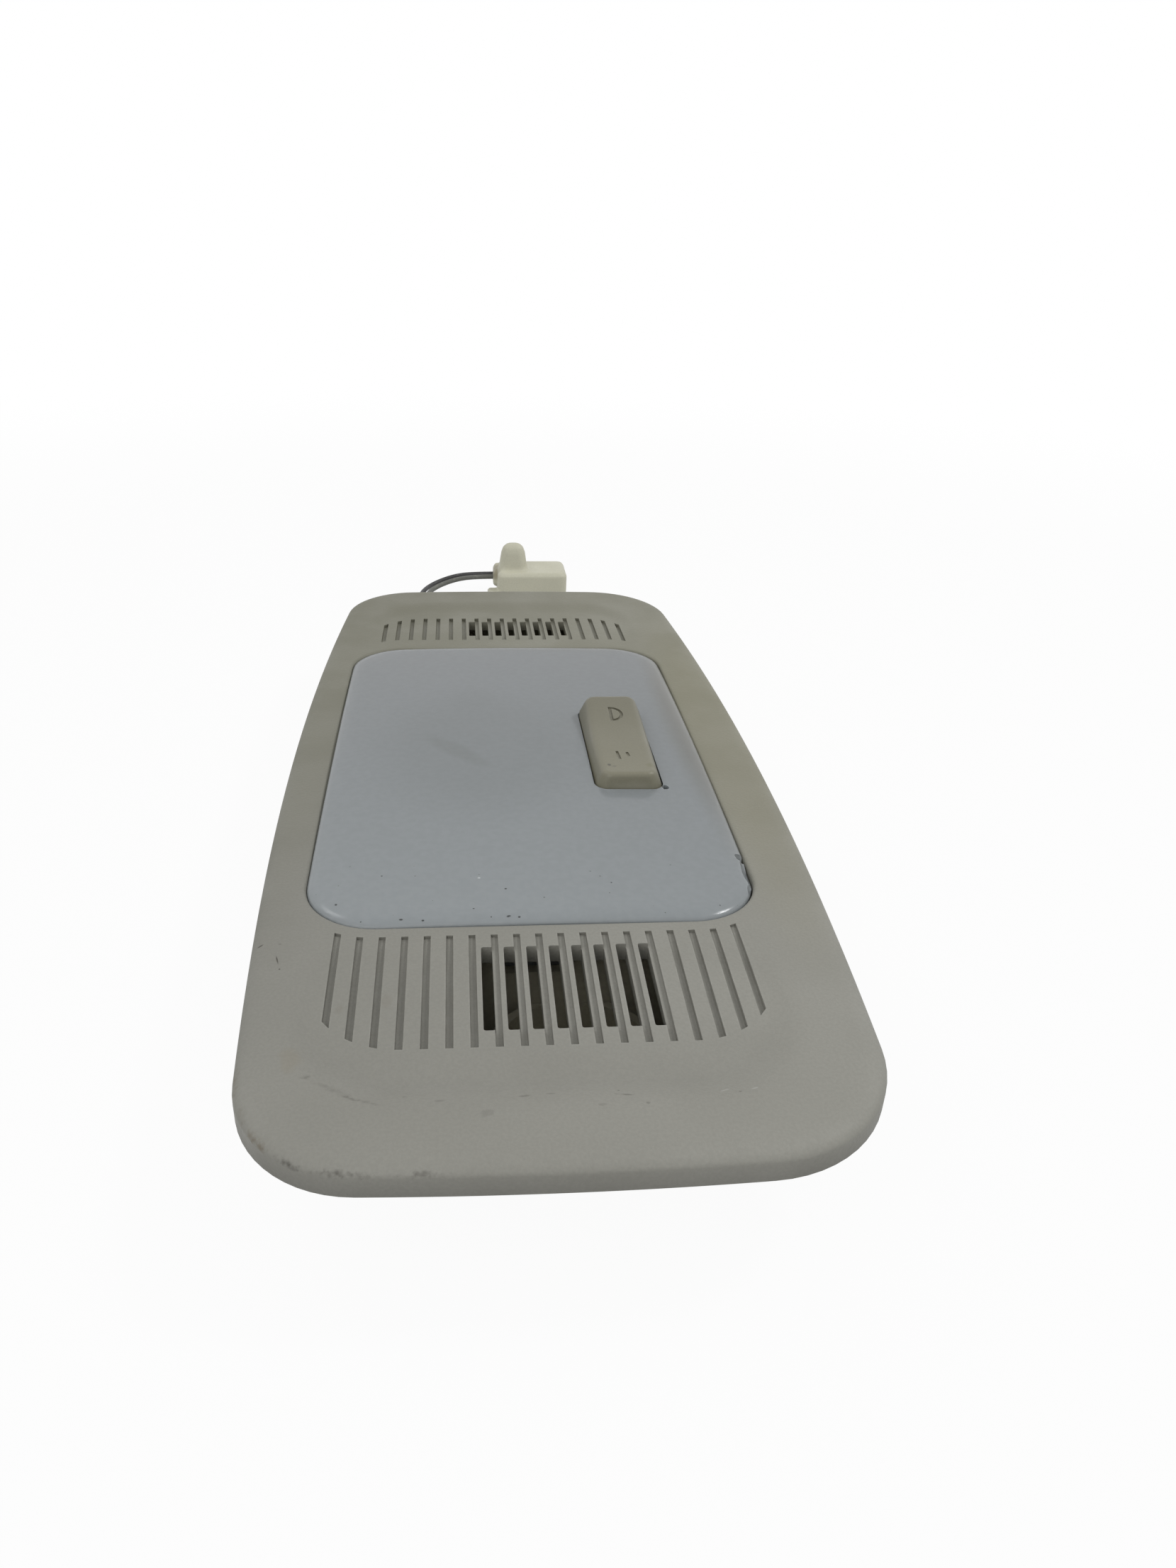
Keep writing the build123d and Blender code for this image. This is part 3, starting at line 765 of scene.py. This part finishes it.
def makeMouldGrain():
    tree, place, given = startGroup("mouldGrain", {"Grain": 1800.0, "Blotch": 40.0})
    fine = clouds(tree, place, given["Grain"], 2.0)
    feeds = {"Vector": place, "Scale": given["Grain"]}
    pits = put(tree, "ShaderNodeTexVoronoi", feeds, feature="SMOOTH_F1").outputs["Distance"]
    blotch = clouds(tree, place, given["Blotch"], 5.0, 0.55)
    return endGroup(tree, {
        "Height": maths(tree, "ADD", fine, pits),
        "Fine": between(tree, fine, 0.3, 0.7),
        "Blotch": between(tree, blotch, 0.3, 0.7)})


def makeEdgeRub():
    tree, place, given = startGroup("edgeRub", {"Radius": 0.0006, "Breakup": 300.0})
    soft = put(tree, "ShaderNodeBevel", {"Radius": given["Radius"]}, samples=4).outputs["Normal"]
    plain = put(tree, "ShaderNodeNewGeometry").outputs["Normal"]
    edge = between(tree, vectors(tree, "DOT_PRODUCT", soft, plain), 0.995, 0.9)
    patchy = between(tree, clouds(tree, place, given["Breakup"], 3.0), 0.4, 0.65)
    return endGroup(tree, {"Mask": times(tree, edge, patchy)})


# painted shade and grime: the colour darkens in recesses that ambient occlusion finds, in patches
def makeCavityShadeAndGrime():
    tree, place, given = startGroup("cavityShadeAndGrime", {"Reach": 0.002, "Breakup": 200.0})
    feeds = {"Distance": given["Reach"]}
    bare = put(tree, "ShaderNodeAmbientOcclusion", feeds, samples=6, only_local=True).outputs["AO"]
    patchy = between(tree, clouds(tree, place, given["Breakup"], 4.0), 0.25, 0.6)
    return endGroup(tree, {"Mask": times(tree, between(tree, bare, 0.85, 0.25), patchy)})


def makeSpecks():
    tree, place, given = startGroup("specks", {"Scale": 300.0, "Size": 0.12, "Share": 0.1})
    cells = put(tree, "ShaderNodeTexVoronoi", {"Vector": place, "Scale": given["Scale"]})
    chosen = put(tree, "ShaderNodeSeparateColor", {0: cells.outputs["Color"]})
    picked = maths(tree, "LESS_THAN", chosen.outputs[0], given["Share"])
    size = times(tree, given["Size"], chosen.outputs[1])
    inside = maths(tree, "LESS_THAN", cells.outputs["Distance"], size)
    return endGroup(tree, {"Mask": times(tree, picked, inside)})


def makeHairlines():
    inputs = {"Turn": (0.0, 0.0, 0.4), "Stretch": (60.0, 3000.0, 60.0), "Cut": 0.72}
    tree, place, given = startGroup("hairlines", inputs)
    stretched = vectors(tree, "MULTIPLY", turned(tree, place, given["Turn"]), given["Stretch"])
    lines = clouds(tree, stretched, 1.0, 1.0)
    top = maths(tree, "ADD", given["Cut"], 0.06)
    return endGroup(tree, {"Mask": between(tree, lines, given["Cut"], top, curve="LINEAR")})


def makeMarkPatch():
    inputs = {"Centre": (0.0, 0.0, 0.0), "Turn": (0.0, 0.0, 0.0), "Half Size": (0.002, 0.001, 0.004),
              "Breakup": 900.0, "Ragged": 0.6, "Core": 0.35}
    tree, place, given = startGroup("markPatch", inputs)
    away = vectors(tree, "SUBTRACT", place, given["Centre"])
    scaled = vectors(tree, "DIVIDE", turned(tree, away, given["Turn"]), given["Half Size"])
    uneven = maths(tree, "SUBTRACT", clouds(tree, place, given["Breakup"], 3.0), 0.5)
    push = times(tree, times(tree, uneven, given["Ragged"]), 4.0)
    reach = maths(tree, "ADD", vectors(tree, "LENGTH", scaled), push)
    return endGroup(tree, {"Mask": between(tree, reach, 1.0, given["Core"])})


def makeDrawnMetal():
    tree, place, given = startGroup("drawnMetal", {"Stretch": (200.0, 4000.0, 200.0), "Stain": 250.0})
    stretched = vectors(tree, "MULTIPLY", place, given["Stretch"])
    patch = clouds(tree, place, given["Stain"], 5.0)
    return endGroup(tree, {
        "Streak": clouds(tree, stretched, 1.0, 4.0),
        "Stain": between(tree, patch, 0.45, 0.7)})


# a ramp along a direction, used for painted light and shade and for where the lens's specks gather
def makeShadeAndSpeckRamp():
    inputs = {"Direction": (0.0, 1.0, 0.0), "From": -0.1, "To": 0.1, "Low": 1.0, "High": 1.0}
    tree, place, given = startGroup("shadeAndSpeckRamp", inputs)
    along = vectors(tree, "DOT_PRODUCT", place, given["Direction"])
    value = between(tree, along, given["From"], given["To"], given["Low"], given["High"], "LINEAR")
    return endGroup(tree, {"Value": value})


mouldGrain = makeMouldGrain()
shadeAndSpeckRamp = makeShadeAndSpeckRamp()
edgeRub = makeEdgeRub()
cavityShadeAndGrime = makeCavityShadeAndGrime()
specks = makeSpecks()
hairlines = makeHairlines()
markPatch = makeMarkPatch()
drawnMetal = makeDrawnMetal()
print("effect groups made")


# Helpers that the materials share

def startMaterial(name):
    material = bpy.data.materials.new(name)
    material.use_nodes = True
    tree = material.node_tree
    shader = tree.nodes["Principled BSDF"]
    place = put(tree, "ShaderNodeTexCoord").outputs["Object"]
    return material, tree, shader, place


def effect(tree, place, group, feeds):
    return put(tree, "ShaderNodeGroup", {"Place": place, **feeds}, node_tree=group).outputs


# paints light and shade: the colour is scaled by ramps along directions
def paintLightAndShade(tree, place, colour, paintedLightRamps):
    for direction, first, last, low, high in paintedLightRamps:
        feeds = {"Direction": direction, "From": first * mm, "To": last * mm, "Low": low, "High": high}
        value = effect(tree, place, shadeAndSpeckRamp, feeds)["Value"]
        colour = put(tree, "ShaderNodeVectorMath", {0: colour, "Scale": value}, operation="SCALE").outputs[0]
    return colour


def marked(tree, place, colour, marks):
    for mark in marks:
        feeds = {"Centre": Vector(mark["centre"]) * mm, "Half Size": Vector(mark["half"]) * mm,
                 "Turn": (0.0, 0.0, math.radians(-mark["turn"])), "Breakup": mark["breakup"],
                 "Ragged": mark["ragged"], "Core": mark["core"]}
        mask = effect(tree, place, markPatch, feeds)["Mask"]
        colour = tint(tree, times(tree, mask, mark["share"]), colour, full(mark["colour"]))
    return colour


def mottled(tree, share, finish):
    dark = full(finish["colour"], 1.0 - finish["drift"])
    pale = full(finish["colour"], 1.0 + finish["drift"])
    return tint(tree, share, dark, pale)


def bumped(tree, shader, height, strength, depth):
    bump = put(tree, "ShaderNodeBump", {"Height": height, "Strength": strength, "Distance": depth})
    feed(tree, shader, {"Normal": bump.outputs["Normal"]})
    return bump


def full(colour, factor=1.0):
    return tuple(c * factor for c in colour) + (1.0,)


# Moulded plastics: one recipe, with what the pieces have in common and one dictionary for each

mouldFinish = {
    "paintedLightRamps": (),
    "blotch": 45.0,
    "fineShare": 0.3,
    "fineShade": 0.8,
    "rubPlaces": {"Radius": 0.0005, "Breakup": 260.0},
    "rubShare": 0.3,
    # the cavity mask paints shade and grime into recesses
    "shadeAndGrimePlaces": {"Reach": 0.0025, "Breakup": 220.0},
    "shadeAndGrimeShare": 0.5,
    "softEdge": 0.00016,
    "gloss": 0.2,
}

bezelFinish = {
    "colour": (0.232, 0.229, 0.203),
    "drift": 0.015,
    # painted light and shade: along a direction, from and to in mm, the colour is multiplied by the first and
    # last factor, lighter to the right and the near end, darker low on the sides, towards the far end and to
    # the left
    "paintedLightRamps": [((0, 1, 0), -110, 110, 1.04, 0.87), ((1, 0, 0), -50, 50, 0.94, 1.1),
               ((0, 0, 1), 20, 24, 0.74, 1.0), ((-1, 0.25, 0), 20, 50, 1.0, 0.88)],
    "grain": 2000.0,
    "grainDepth": 0.00008,
    "grainStrength": 0.5,
    "roughness": (0.50, 0.66),
    "rub": (0.36, 0.355, 0.32),
    "rubShare": 0.35,
    # painted shade and grime in the grooves, slots and other recesses
    "shadeAndGrime": (0.12, 0.11, 0.085),
    "shadeAndGrimeShare": 0.2,
    "gloss": 0.35,
}

rockerFinish = {
    "colour": (0.189, 0.181, 0.131),
    "drift": 0.02,
    # painted light and shade: the near end lighter, the far end darker
    "paintedLightRamps": [((0, 1, 0), -19, 16, 1.02, 0.82)],
    "grain": 2400.0,
    "grainDepth": 0.00003,
    "grainStrength": 0.22,
    "roughness": (0.3, 0.42),
    "rub": (0.36, 0.35, 0.29),
    "shadeAndGrime": (0.07, 0.06, 0.04),
    # painted shade in the engravings and tight cavities, with grime
    "shadeAndGrimeShare": 0.7,
    "shadeAndGrimePlaces": {"Reach": 0.0007, "Breakup": 220.0},
    "gloss": 0.38,
}

housingFinish = {
    "colour": (0.52, 0.50, 0.40),
    "drift": 0.1,
    "grain": 1100.0,
    "grainDepth": 0.00005,
    "grainStrength": 0.3,
    "roughness": (0.5, 0.68),
    "rub": (0.42, 0.41, 0.37),
    "shadeAndGrime": (0.12, 0.105, 0.08),
}

connectorFinish = {
    "colour": (0.55, 0.54, 0.43),
    "drift": 0.04,
    "grain": 2000.0,
    "grainDepth": 0.00003,
    "grainStrength": 0.2,
    "roughness": (0.38, 0.52),
    "rub": (0.6, 0.6, 0.52),
    "shadeAndGrime": (0.26, 0.23, 0.16),
}

switchFinish = {
    "colour": (0.06, 0.06, 0.06),
    "drift": 0.1,
    "grain": 1600.0,
    "grainDepth": 0.00004,
    "grainStrength": 0.25,
    "roughness": (0.42, 0.58),
    "rub": (0.12, 0.12, 0.12),
    "rubShare": 0.4,
    "shadeAndGrime": (0.16, 0.15, 0.13),
    "shadeAndGrimeShare": 0.3,
}

darkSmear = (0.05, 0.045, 0.036)
brownSmear = (0.13, 0.105, 0.07)
paleScratch = (0.42, 0.42, 0.4)


def smear(x, y, halfX, halfY, share, colour=darkSmear, turn=0.0, z=25.0, halfZ=3.0,
          ragged=0.35, breakup=900.0, core=0.35):
    return {"centre": (x, y, z), "half": (halfX, halfY, halfZ), "turn": turn, "share": share,
            "colour": colour, "ragged": ragged, "breakup": breakup, "core": core}


def rubbed(x, y, halfX, halfY, share, turn, colour=darkSmear, z=24.3):
    return smear(x, y, halfX, halfY, share, colour, turn, z, halfZ=0.9,
                 ragged=0.5, breakup=1300.0, core=-0.5)  # fades out all the way from its middle


bezelMarks = [
    # black nicks by the left rim
    smear(-47.4, -66.2, 0.75, 0.2, 0.9, turn=35), smear(-44.3, -66.1, 0.35, 0.15, 0.6),
    smear(-44.2, -70.2, 0.16, 1.1, 0.9, turn=16), smear(-43.5, -72.6, 0.22, 0.2, 0.9),
    # brown along the left rim, dark smears on the crest of the near left corner
    rubbed(-46.5, -96.6, 0.9, 4.2, 0.7, 4, brownSmear), rubbed(-44.6, -102.6, 0.8, 2.4, 0.4, 22, brownSmear),
    rubbed(-41.9, -107.1, 3.4, 1.0, 0.95, -48, brownSmear, z=24.0),
    rubbed(-37.2, -111.1, 2.5, 0.9, 1.0, -32, z=24.0),
    rubbed(-34.4, -112.7, 4.5, 0.7, 0.45, -16), rubbed(-31.5, -113.1, 3.6, 0.7, 1.0, -9),
    rubbed(-28.0, -113.5, 2.4, 0.6, 0.6, -5), rubbed(-24.0, -113.7, 4.0, 0.5, 0.3, -2),
    rubbed(-19.6, -113.75, 3.2, 0.6, 0.75, 0),
    # scuffs in front of the grille
    rubbed(-36.5, -96.6, 0.8, 0.6, 0.5, 0, z=24.9), rubbed(-32.2, -99.2, 6.2, 0.8, 0.3, -28, z=24.9),
    rubbed(-30.4, -100.6, 1.8, 0.5, 0.5, -24, z=24.9), rubbed(-27.8, -101.5, 2.0, 0.5, 0.4, -20, z=24.9),
    smear(-22.6, -99.9, 0.7, 0.4, 0.3), smear(-18.0, -101.4, 0.9, 0.4, 0.25),
    smear(-11.6, -104.5, 1.1, 0.9, 0.16),
    smear(-6.6, -100.8, 1.9, 0.4, 0.4, turn=8, ragged=0.5), smear(-2.6, -100.4, 0.9, 0.25, 0.25),
    smear(7.6, -101.4, 1.7, 0.22, 0.5, turn=-10), smear(6.9, -100.2, 0.3, 0.25, 0.5),
    smear(4.0, -103.6, 0.8, 0.3, 0.2), smear(10.4, -103.6, 0.4, 0.3, 0.35),
    smear(21.7, -101.3, 0.9, 0.16, 0.4, paleScratch, turn=20), smear(23.6, -102.0, 0.35, 0.2, 0.45),
    smear(25.8, -101.5, 0.6, 0.16, 0.4, paleScratch, turn=12),
    # yellowed patches, the largest over the far half
    smear(0, 110, 130, 190, 0.36, (0.188, 0.183, 0.112), halfZ=100, ragged=0.05, breakup=20),
    smear(44, 8, 14, 95, 0.5, (0.2, 0.19, 0.125), halfZ=100, ragged=0.05, breakup=30),
    smear(-48, 30, 14, 120, 0.4, (0.17, 0.168, 0.13), halfZ=100, ragged=0.05, breakup=30),
    smear(-39.2, -93.2, 2.2, 3.2, 0.16, (0.2, 0.16, 0.09), ragged=0.3, breakup=400),
    smear(-26.4, -80.1, 1.2, 2.6, 0.14, brownSmear, breakup=300),
    smear(-33.3, -81.6, 1.4, 1.6, 0.14, brownSmear, breakup=300),
]

rockerMarks = [
    # dark spots on the top, then a painted highlight that lightens the near face
    smear(16.2, -14.6, 0.55, 0.6, 0.85, z=29.7), smear(17.2, -15.2, 0.6, 0.3, 0.5, z=29.7),
    smear(24.9, -14.9, 1.3, 1.2, 0.4, (0.12, 0.115, 0.05), z=29.7, breakup=500),
    smear(15.6, 15.8, 0.9, 0.5, 0.6, z=31.7),
    # painted highlight over the near face
    smear(20.1, -19.2, 9.0, 1.6, 0.5, (0.29, 0.282, 0.225), z=26.0, halfZ=3.2, ragged=0.1, breakup=300),
]

connectorMarks = [
    # brown where the wires enter: painted shade between the parts, with grease
    smear(0.5, 184.5, 4.5, 7.0, 0.6, (0.2, 0.165, 0.09), z=8.5, halfZ=4.0, ragged=0.15, breakup=250),
]


def mouldedPlastic(name, ownFinish, marks=()):
    finish = {**mouldFinish, **ownFinish}
    material, tree, shader, place = startMaterial(name)
    grain = effect(tree, place, mouldGrain, {"Grain": finish["grain"], "Blotch": finish["blotch"]})
    rub = effect(tree, place, edgeRub, finish["rubPlaces"])["Mask"]
    shadeAndGrime = effect(tree, place, cavityShadeAndGrime, finish["shadeAndGrimePlaces"])["Mask"]
    colour = mottled(tree, grain["Blotch"], finish)
    fine = times(tree, grain["Fine"], finish["fineShare"])
    colour = tint(tree, fine, colour, full(finish["colour"], finish["fineShade"]))
    colour = tint(tree, times(tree, rub, finish["rubShare"]), colour, full(finish["rub"]))
    # recesses darkened: painted shade and grime
    colour = tint(tree, times(tree, shadeAndGrime, finish["shadeAndGrimeShare"]), colour, full(finish["shadeAndGrime"]))
    # painted light and shade along the finish's ramps
    colour = paintLightAndShade(tree, place, colour, finish["paintedLightRamps"])
    colour = marked(tree, place, colour, marks)
    low, high = finish["roughness"]
    rough = between(tree, grain["Blotch"], 0.0, 1.0, high, low)
    feed(tree, shader, {"Base Color": colour, "Roughness": rough, "Specular IOR Level": finish["gloss"]})
    bump = bumped(tree, shader, grain["Height"], finish["grainStrength"], finish["grainDepth"])
    soft = put(tree, "ShaderNodeBevel", {"Radius": finish["softEdge"]}, samples=4)
    feed(tree, bump, {"Normal": soft.outputs["Normal"]})
    return material


bezelPlastic = mouldedPlastic("bezelPlastic", bezelFinish, bezelMarks)
rockerPlastic = mouldedPlastic("rockerPlastic", rockerFinish, rockerMarks)
housingPlastic = mouldedPlastic("housingPlastic", housingFinish)
connectorPlastic = mouldedPlastic("connectorPlastic", connectorFinish, connectorMarks)
switchPlastic = mouldedPlastic("switchPlastic", switchFinish)


# Milky lens

lensFinish = {
    "colour": (0.214, 0.231, 0.238),
    "drift": 0.02,
    # painted light and shade: lighter by the near edge, darker towards the far end and to the right
    "paintedLightRamps": [((0, 1, 0), -62, 62, 1.18, 0.74), ((1, 0, 0), 0, 38, 1.02, 0.97)],
    "grain": {"Grain": 700.0, "Blotch": 28.0},
    "roughness": (0.13, 0.2),
    "specks": {"Scale": 600.0, "Size": 0.13, "Share": 0.3},
    "speckFade": {"From": -0.064, "To": -0.04, "Low": 0.85, "High": 0.0},  # most by the near edge
    "gloss": 0.25,
    "scatter": 0.5,
    "scatterDepth": 0.002,
}

lensDirt = (0.03, 0.03, 0.03)


# a mark on the lens, for painted shade under the milky sheet and for real specks
def patch(x, y, halfX, halfY, share, colour=lensDirt, turn=0.0, ragged=0.35, breakup=900.0):
    return smear(x, y, halfX, halfY, share, colour, turn, 27.0, 9.0, ragged, breakup)


lensMarks = [
    # painted shade under the milky sheet: the bulb's shadow, the dim middle and a smaller dim patch
    patch(-15.5, -1.8, 13.5, 3.4, 0.17, (0.1, 0.105, 0.09), turn=-48, ragged=0.1, breakup=90),
    patch(-10.0, 0.0, 30.0, 38.0, 0.16, (0.1, 0.11, 0.1), ragged=0.05, breakup=40),
    patch(-12.0, 26.0, 8.0, 9.0, 0.06, (0.1, 0.11, 0.1), ragged=0.15, breakup=80),
    # painted shade: a warm dim band along the right and far edges
    patch(39.5, 14.0, 9.0, 76.0, 0.55, (0.13, 0.122, 0.095), ragged=0.05, breakup=40),
    patch(12.0, 66.0, 46.0, 9.0, 0.3, (0.13, 0.125, 0.1), ragged=0.05, breakup=40),
    # black specks by the near edge
    patch(-6.9, -53.3, 0.28, 0.24, 0.9), patch(-0.3, -56.0, 0.3, 0.22, 0.9),
    patch(-12.6, -58.6, 0.3, 0.22, 0.9), patch(-6.7, -60.6, 0.5, 0.24, 0.85, turn=20),
    patch(-4.9, -60.8, 0.3, 0.22, 0.85), patch(-28.8, -48.4, 0.3, 0.24, 0.9),
    patch(-36.2, -56.1, 0.3, 0.3, 0.9), patch(-24.9, -60.6, 0.4, 0.2, 0.9),
    patch(-21.2, -60.9, 0.3, 0.22, 0.9), patch(-11.5, -49.9, 0.3, 0.24, 0.8, (0.5, 0.52, 0.53)),
    patch(12.0, -52.0, 0.2, 0.2, 0.8), patch(11.3, -55.0, 0.2, 0.2, 0.8),
]


def milkyLens(finish, marks):
    material, tree, shader, place = startMaterial("milkyLens")
    grain = effect(tree, place, mouldGrain, finish["grain"])
    colour = mottled(tree, grain["Fine"], finish)
    # painted light and shade along the finish's ramps
    colour = paintLightAndShade(tree, place, colour, finish["paintedLightRamps"])
    colour = marked(tree, place, colour, marks)
    dots = effect(tree, place, specks, finish["specks"])["Mask"]
    near = effect(tree, place, shadeAndSpeckRamp, finish["speckFade"])["Value"]
    colour = tint(tree, times(tree, dots, near), colour, full(lensDirt))
    rough = between(tree, grain["Blotch"], 0.0, 1.0, *finish["roughness"])
    feed(tree, shader, {"Base Color": colour, "Roughness": rough, "Specular IOR Level": finish["gloss"]})
    feed(tree, shader, {"Subsurface Weight": finish["scatter"], "Subsurface Radius": (1.0, 1.0, 1.0),
                        "Subsurface Scale": finish["scatterDepth"]})
    return material


lensPlastic = milkyLens(lensFinish, lensMarks)


# Metals, wire skins and the bulb's glass

fineBump = {"strength": 0.2, "depth": 0.00002}

metals = {
    "contactBrass": {"colour": (0.60, 0.43, 0.19), "patch": (0.22, 0.14, 0.07), "roughness": (0.3, 0.52)},
    "screwZinc": {"colour": (0.50, 0.50, 0.48), "patch": (0.22, 0.19, 0.15), "roughness": (0.28, 0.5)},
    "bulbCapPlate": {"colour": (0.58, 0.58, 0.56), "patch": (0.30, 0.27, 0.22), "roughness": (0.22, 0.44)},
    "shieldSheet": {"colour": (0.70, 0.70, 0.70), "patch": (0.42, 0.40, 0.37), "roughness": (0.22, 0.44)},
    "clipSpringSteel": {"colour": (0.33, 0.32, 0.31), "patch": (0.27, 0.25, 0.23), "roughness": (0.34, 0.56)},
}


def drawnSheet(name, finish):
    material, tree, shader, place = startMaterial(name)
    drawn = effect(tree, place, drawnMetal, {})
    colour = tint(tree, drawn["Stain"], full(finish["colour"]), full(finish["patch"]))
    rough = between(tree, drawn["Streak"], 0.3, 0.7, *finish["roughness"])
    feed(tree, shader, {"Base Color": colour, "Roughness": rough, "Metallic": 1.0})
    bumped(tree, shader, drawn["Streak"], **fineBump)
    return material


metalFinishes = {name: drawnSheet(name, finish) for name, finish in metals.items()}

skinWear = {
    "grain": {"Grain": 2600.0, "Blotch": 160.0},
    "scuffs": {"Stretch": (900.0, 120.0, 900.0), "Cut": 0.6},
    "dusty": 0.28,
}

wireSkins = {
    "greySkin": {"colour": (0.1, 0.103, 0.09), "dust": (0.2, 0.2, 0.17), "roughness": (0.48, 0.66)},
    "blackSkin": {"colour": (0.022, 0.022, 0.023), "dust": (0.11, 0.105, 0.1), "roughness": (0.42, 0.62)},
    "grommetSkin": {"colour": (0.03, 0.03, 0.03), "dust": (0.12, 0.115, 0.1), "roughness": (0.55, 0.75)},
}


def softSkin(name, finish):
    material, tree, shader, place = startMaterial(name)
    grain = effect(tree, place, mouldGrain, skinWear["grain"])
    scuff = effect(tree, place, hairlines, skinWear["scuffs"])["Mask"]
    dusty = times(tree, maths(tree, "ADD", grain["Blotch"], scuff), skinWear["dusty"])
    colour = tint(tree, dusty, full(finish["colour"]), full(finish["dust"]))
    rough = between(tree, grain["Blotch"], 0.0, 1.0, *finish["roughness"])
    feed(tree, shader, {"Base Color": colour, "Roughness": rough})
    bumped(tree, shader, grain["Height"], **fineBump)
    return material


skins = {name: softSkin(name, finish) for name, finish in wireSkins.items()}

glassFinish = {
    "grain": {"Grain": 900.0, "Blotch": 200.0},
    "colour": (0.95, 0.96, 0.96),
    "dust": (0.85, 0.84, 0.8),
    "roughness": (0.02, 0.12),
    "bending": 1.48,
}


def clearGlass(name, finish):
    material, tree, shader, place = startMaterial(name)
    grain = effect(tree, place, mouldGrain, finish["grain"])
    rough = between(tree, grain["Blotch"], 0.0, 1.0, *finish["roughness"])
    colour = tint(tree, grain["Blotch"], full(finish["colour"]), full(finish["dust"]))
    feed(tree, shader, {"Base Color": colour, "Roughness": rough})
    feed(tree, shader, {"Transmission Weight": 1.0, "IOR": finish["bending"]})
    return material


bulbGlass = clearGlass("bulbGlass", glassFinish)
print("materials made")


# Each node and piece gets its material, contacts, rivets and terminals the brass

def dress(piece, material):
    piece.data.materials.clear()
    piece.data.materials.append(material)


nodeFinishes = {
    "bezel": bezelPlastic,
    "lens": lensPlastic,
    "rocker": rockerPlastic,
    "rear_housing": housingPlastic,
    "switch_case": switchPlastic,
    "connector_body": connectorPlastic,
    "bulb_glass": bulbGlass,
    "wire_grey": skins["greySkin"],
    "wire_black": skins["blackSkin"],
    "wire_grommet": skins["grommetSkin"],
    "housing_screws": metalFinishes["screwZinc"],
    "bulb_caps": metalFinishes["bulbCapPlate"],
    "heat_shield": metalFinishes["shieldSheet"],
    "clip_left": metalFinishes["clipSpringSteel"],
    "clip_right": metalFinishes["clipSpringSteel"],
}
for name, node in nodes.items():
    dress(node, nodeFinishes.get(name, metalFinishes["contactBrass"]))
dress(bezelPiece, bezelPlastic)
dress(lensPiece, lensPlastic)
dress(rockerPiece, rockerPlastic)
dress(connectorPiece, connectorPlastic)
dress(greyWire, skins["greySkin"])
dress(blackWire, skins["blackSkin"])
print("nodes and pieces dressed")


# Table, world and lamps

studio = {
    "floorHalf": 6.0,
    "floorDrop": 0.0002,
    "floorColour": (0.6, 0.6, 0.6, 1.0),
    "floorWhite": 0.95,
    "floorNear": 0.3,
    "floorFar": 0.7,
    "fill": 0.58,
    # name, place in metres, size and power
    "lamps": [("keyLamp", (0.6, 0.05, 0.8), 0.16, 2.95), ("frontLamp", (-0.27, -0.42, 0.4), 0.5, 1.05),
              ("edgeLamp", (-0.5, 0.32, 0.8), 0.2, 0.7)],
}


def seenDirectly(tree):
    light = put(tree, "ShaderNodeLightPath").outputs
    seen = maths(tree, "MAXIMUM", light["Is Camera Ray"], light["Is Glossy Ray"])
    return maths(tree, "MAXIMUM", seen, light["Is Transmission Ray"])


def makeFloor(setup):
    half = setup["floorHalf"]
    mesh = bpy.data.meshes.new("table")
    corners = [(-half, -half, 0), (half, -half, 0), (half, half, 0), (-half, half, 0)]
    mesh.from_pydata(corners, [], [(0, 1, 2, 3)])
    floor = bpy.data.objects.new("table", mesh)
    floor.location.z = -setup["floorDrop"]
    scene.collection.objects.link(floor)
    material = bpy.data.materials.new("tableWhite")
    material.use_nodes = True
    tree = material.node_tree
    tree.nodes.clear()
    matte = put(tree, "ShaderNodeBsdfDiffuse", {"Color": setup["floorColour"]})
    white = put(tree, "ShaderNodeEmission", {"Color": (1, 1, 1, 1), "Strength": 1.0})
    away = vectors(tree, "LENGTH", put(tree, "ShaderNodeTexCoord").outputs["Object"])
    pale = between(tree, away, setup["floorNear"], setup["floorFar"], setup["floorWhite"], 1.0)
    share = times(tree, seenDirectly(tree), pale)
    mixed = put(tree, "ShaderNodeMixShader", {0: share, 1: matte.outputs[0], 2: white.outputs[0]})
    put(tree, "ShaderNodeOutputMaterial", {"Surface": mixed.outputs[0]})
    dress(floor, material)


def makeWorld(setup):
    world = bpy.data.worlds.new("whiteRoom")
    world.use_nodes = True
    tree = world.node_tree
    tree.nodes.clear()
    strength = between(tree, seenDirectly(tree), 0.0, 1.0, setup["fill"], 1.0)
    back = put(tree, "ShaderNodeBackground", {"Color": (1, 1, 1, 1), "Strength": strength})
    put(tree, "ShaderNodeOutputWorld", {"Surface": back.outputs[0]})
    scene.world = world


def makeLamp(name, place, size, power):
    data = bpy.data.lights.new(name, "AREA")
    data.size = size
    data.energy = power
    lamp = bpy.data.objects.new(name, data)
    scene.collection.objects.link(lamp)
    lamp.location = place
    lamp.rotation_mode = "QUATERNION"
    lamp.rotation_quaternion = (-Vector(place)).to_track_quat("-Z", "Y")


makeFloor(studio)
makeWorld(studio)
for lampSetup in studio["lamps"]:
    makeLamp(*lampSetup)
print("studio made")
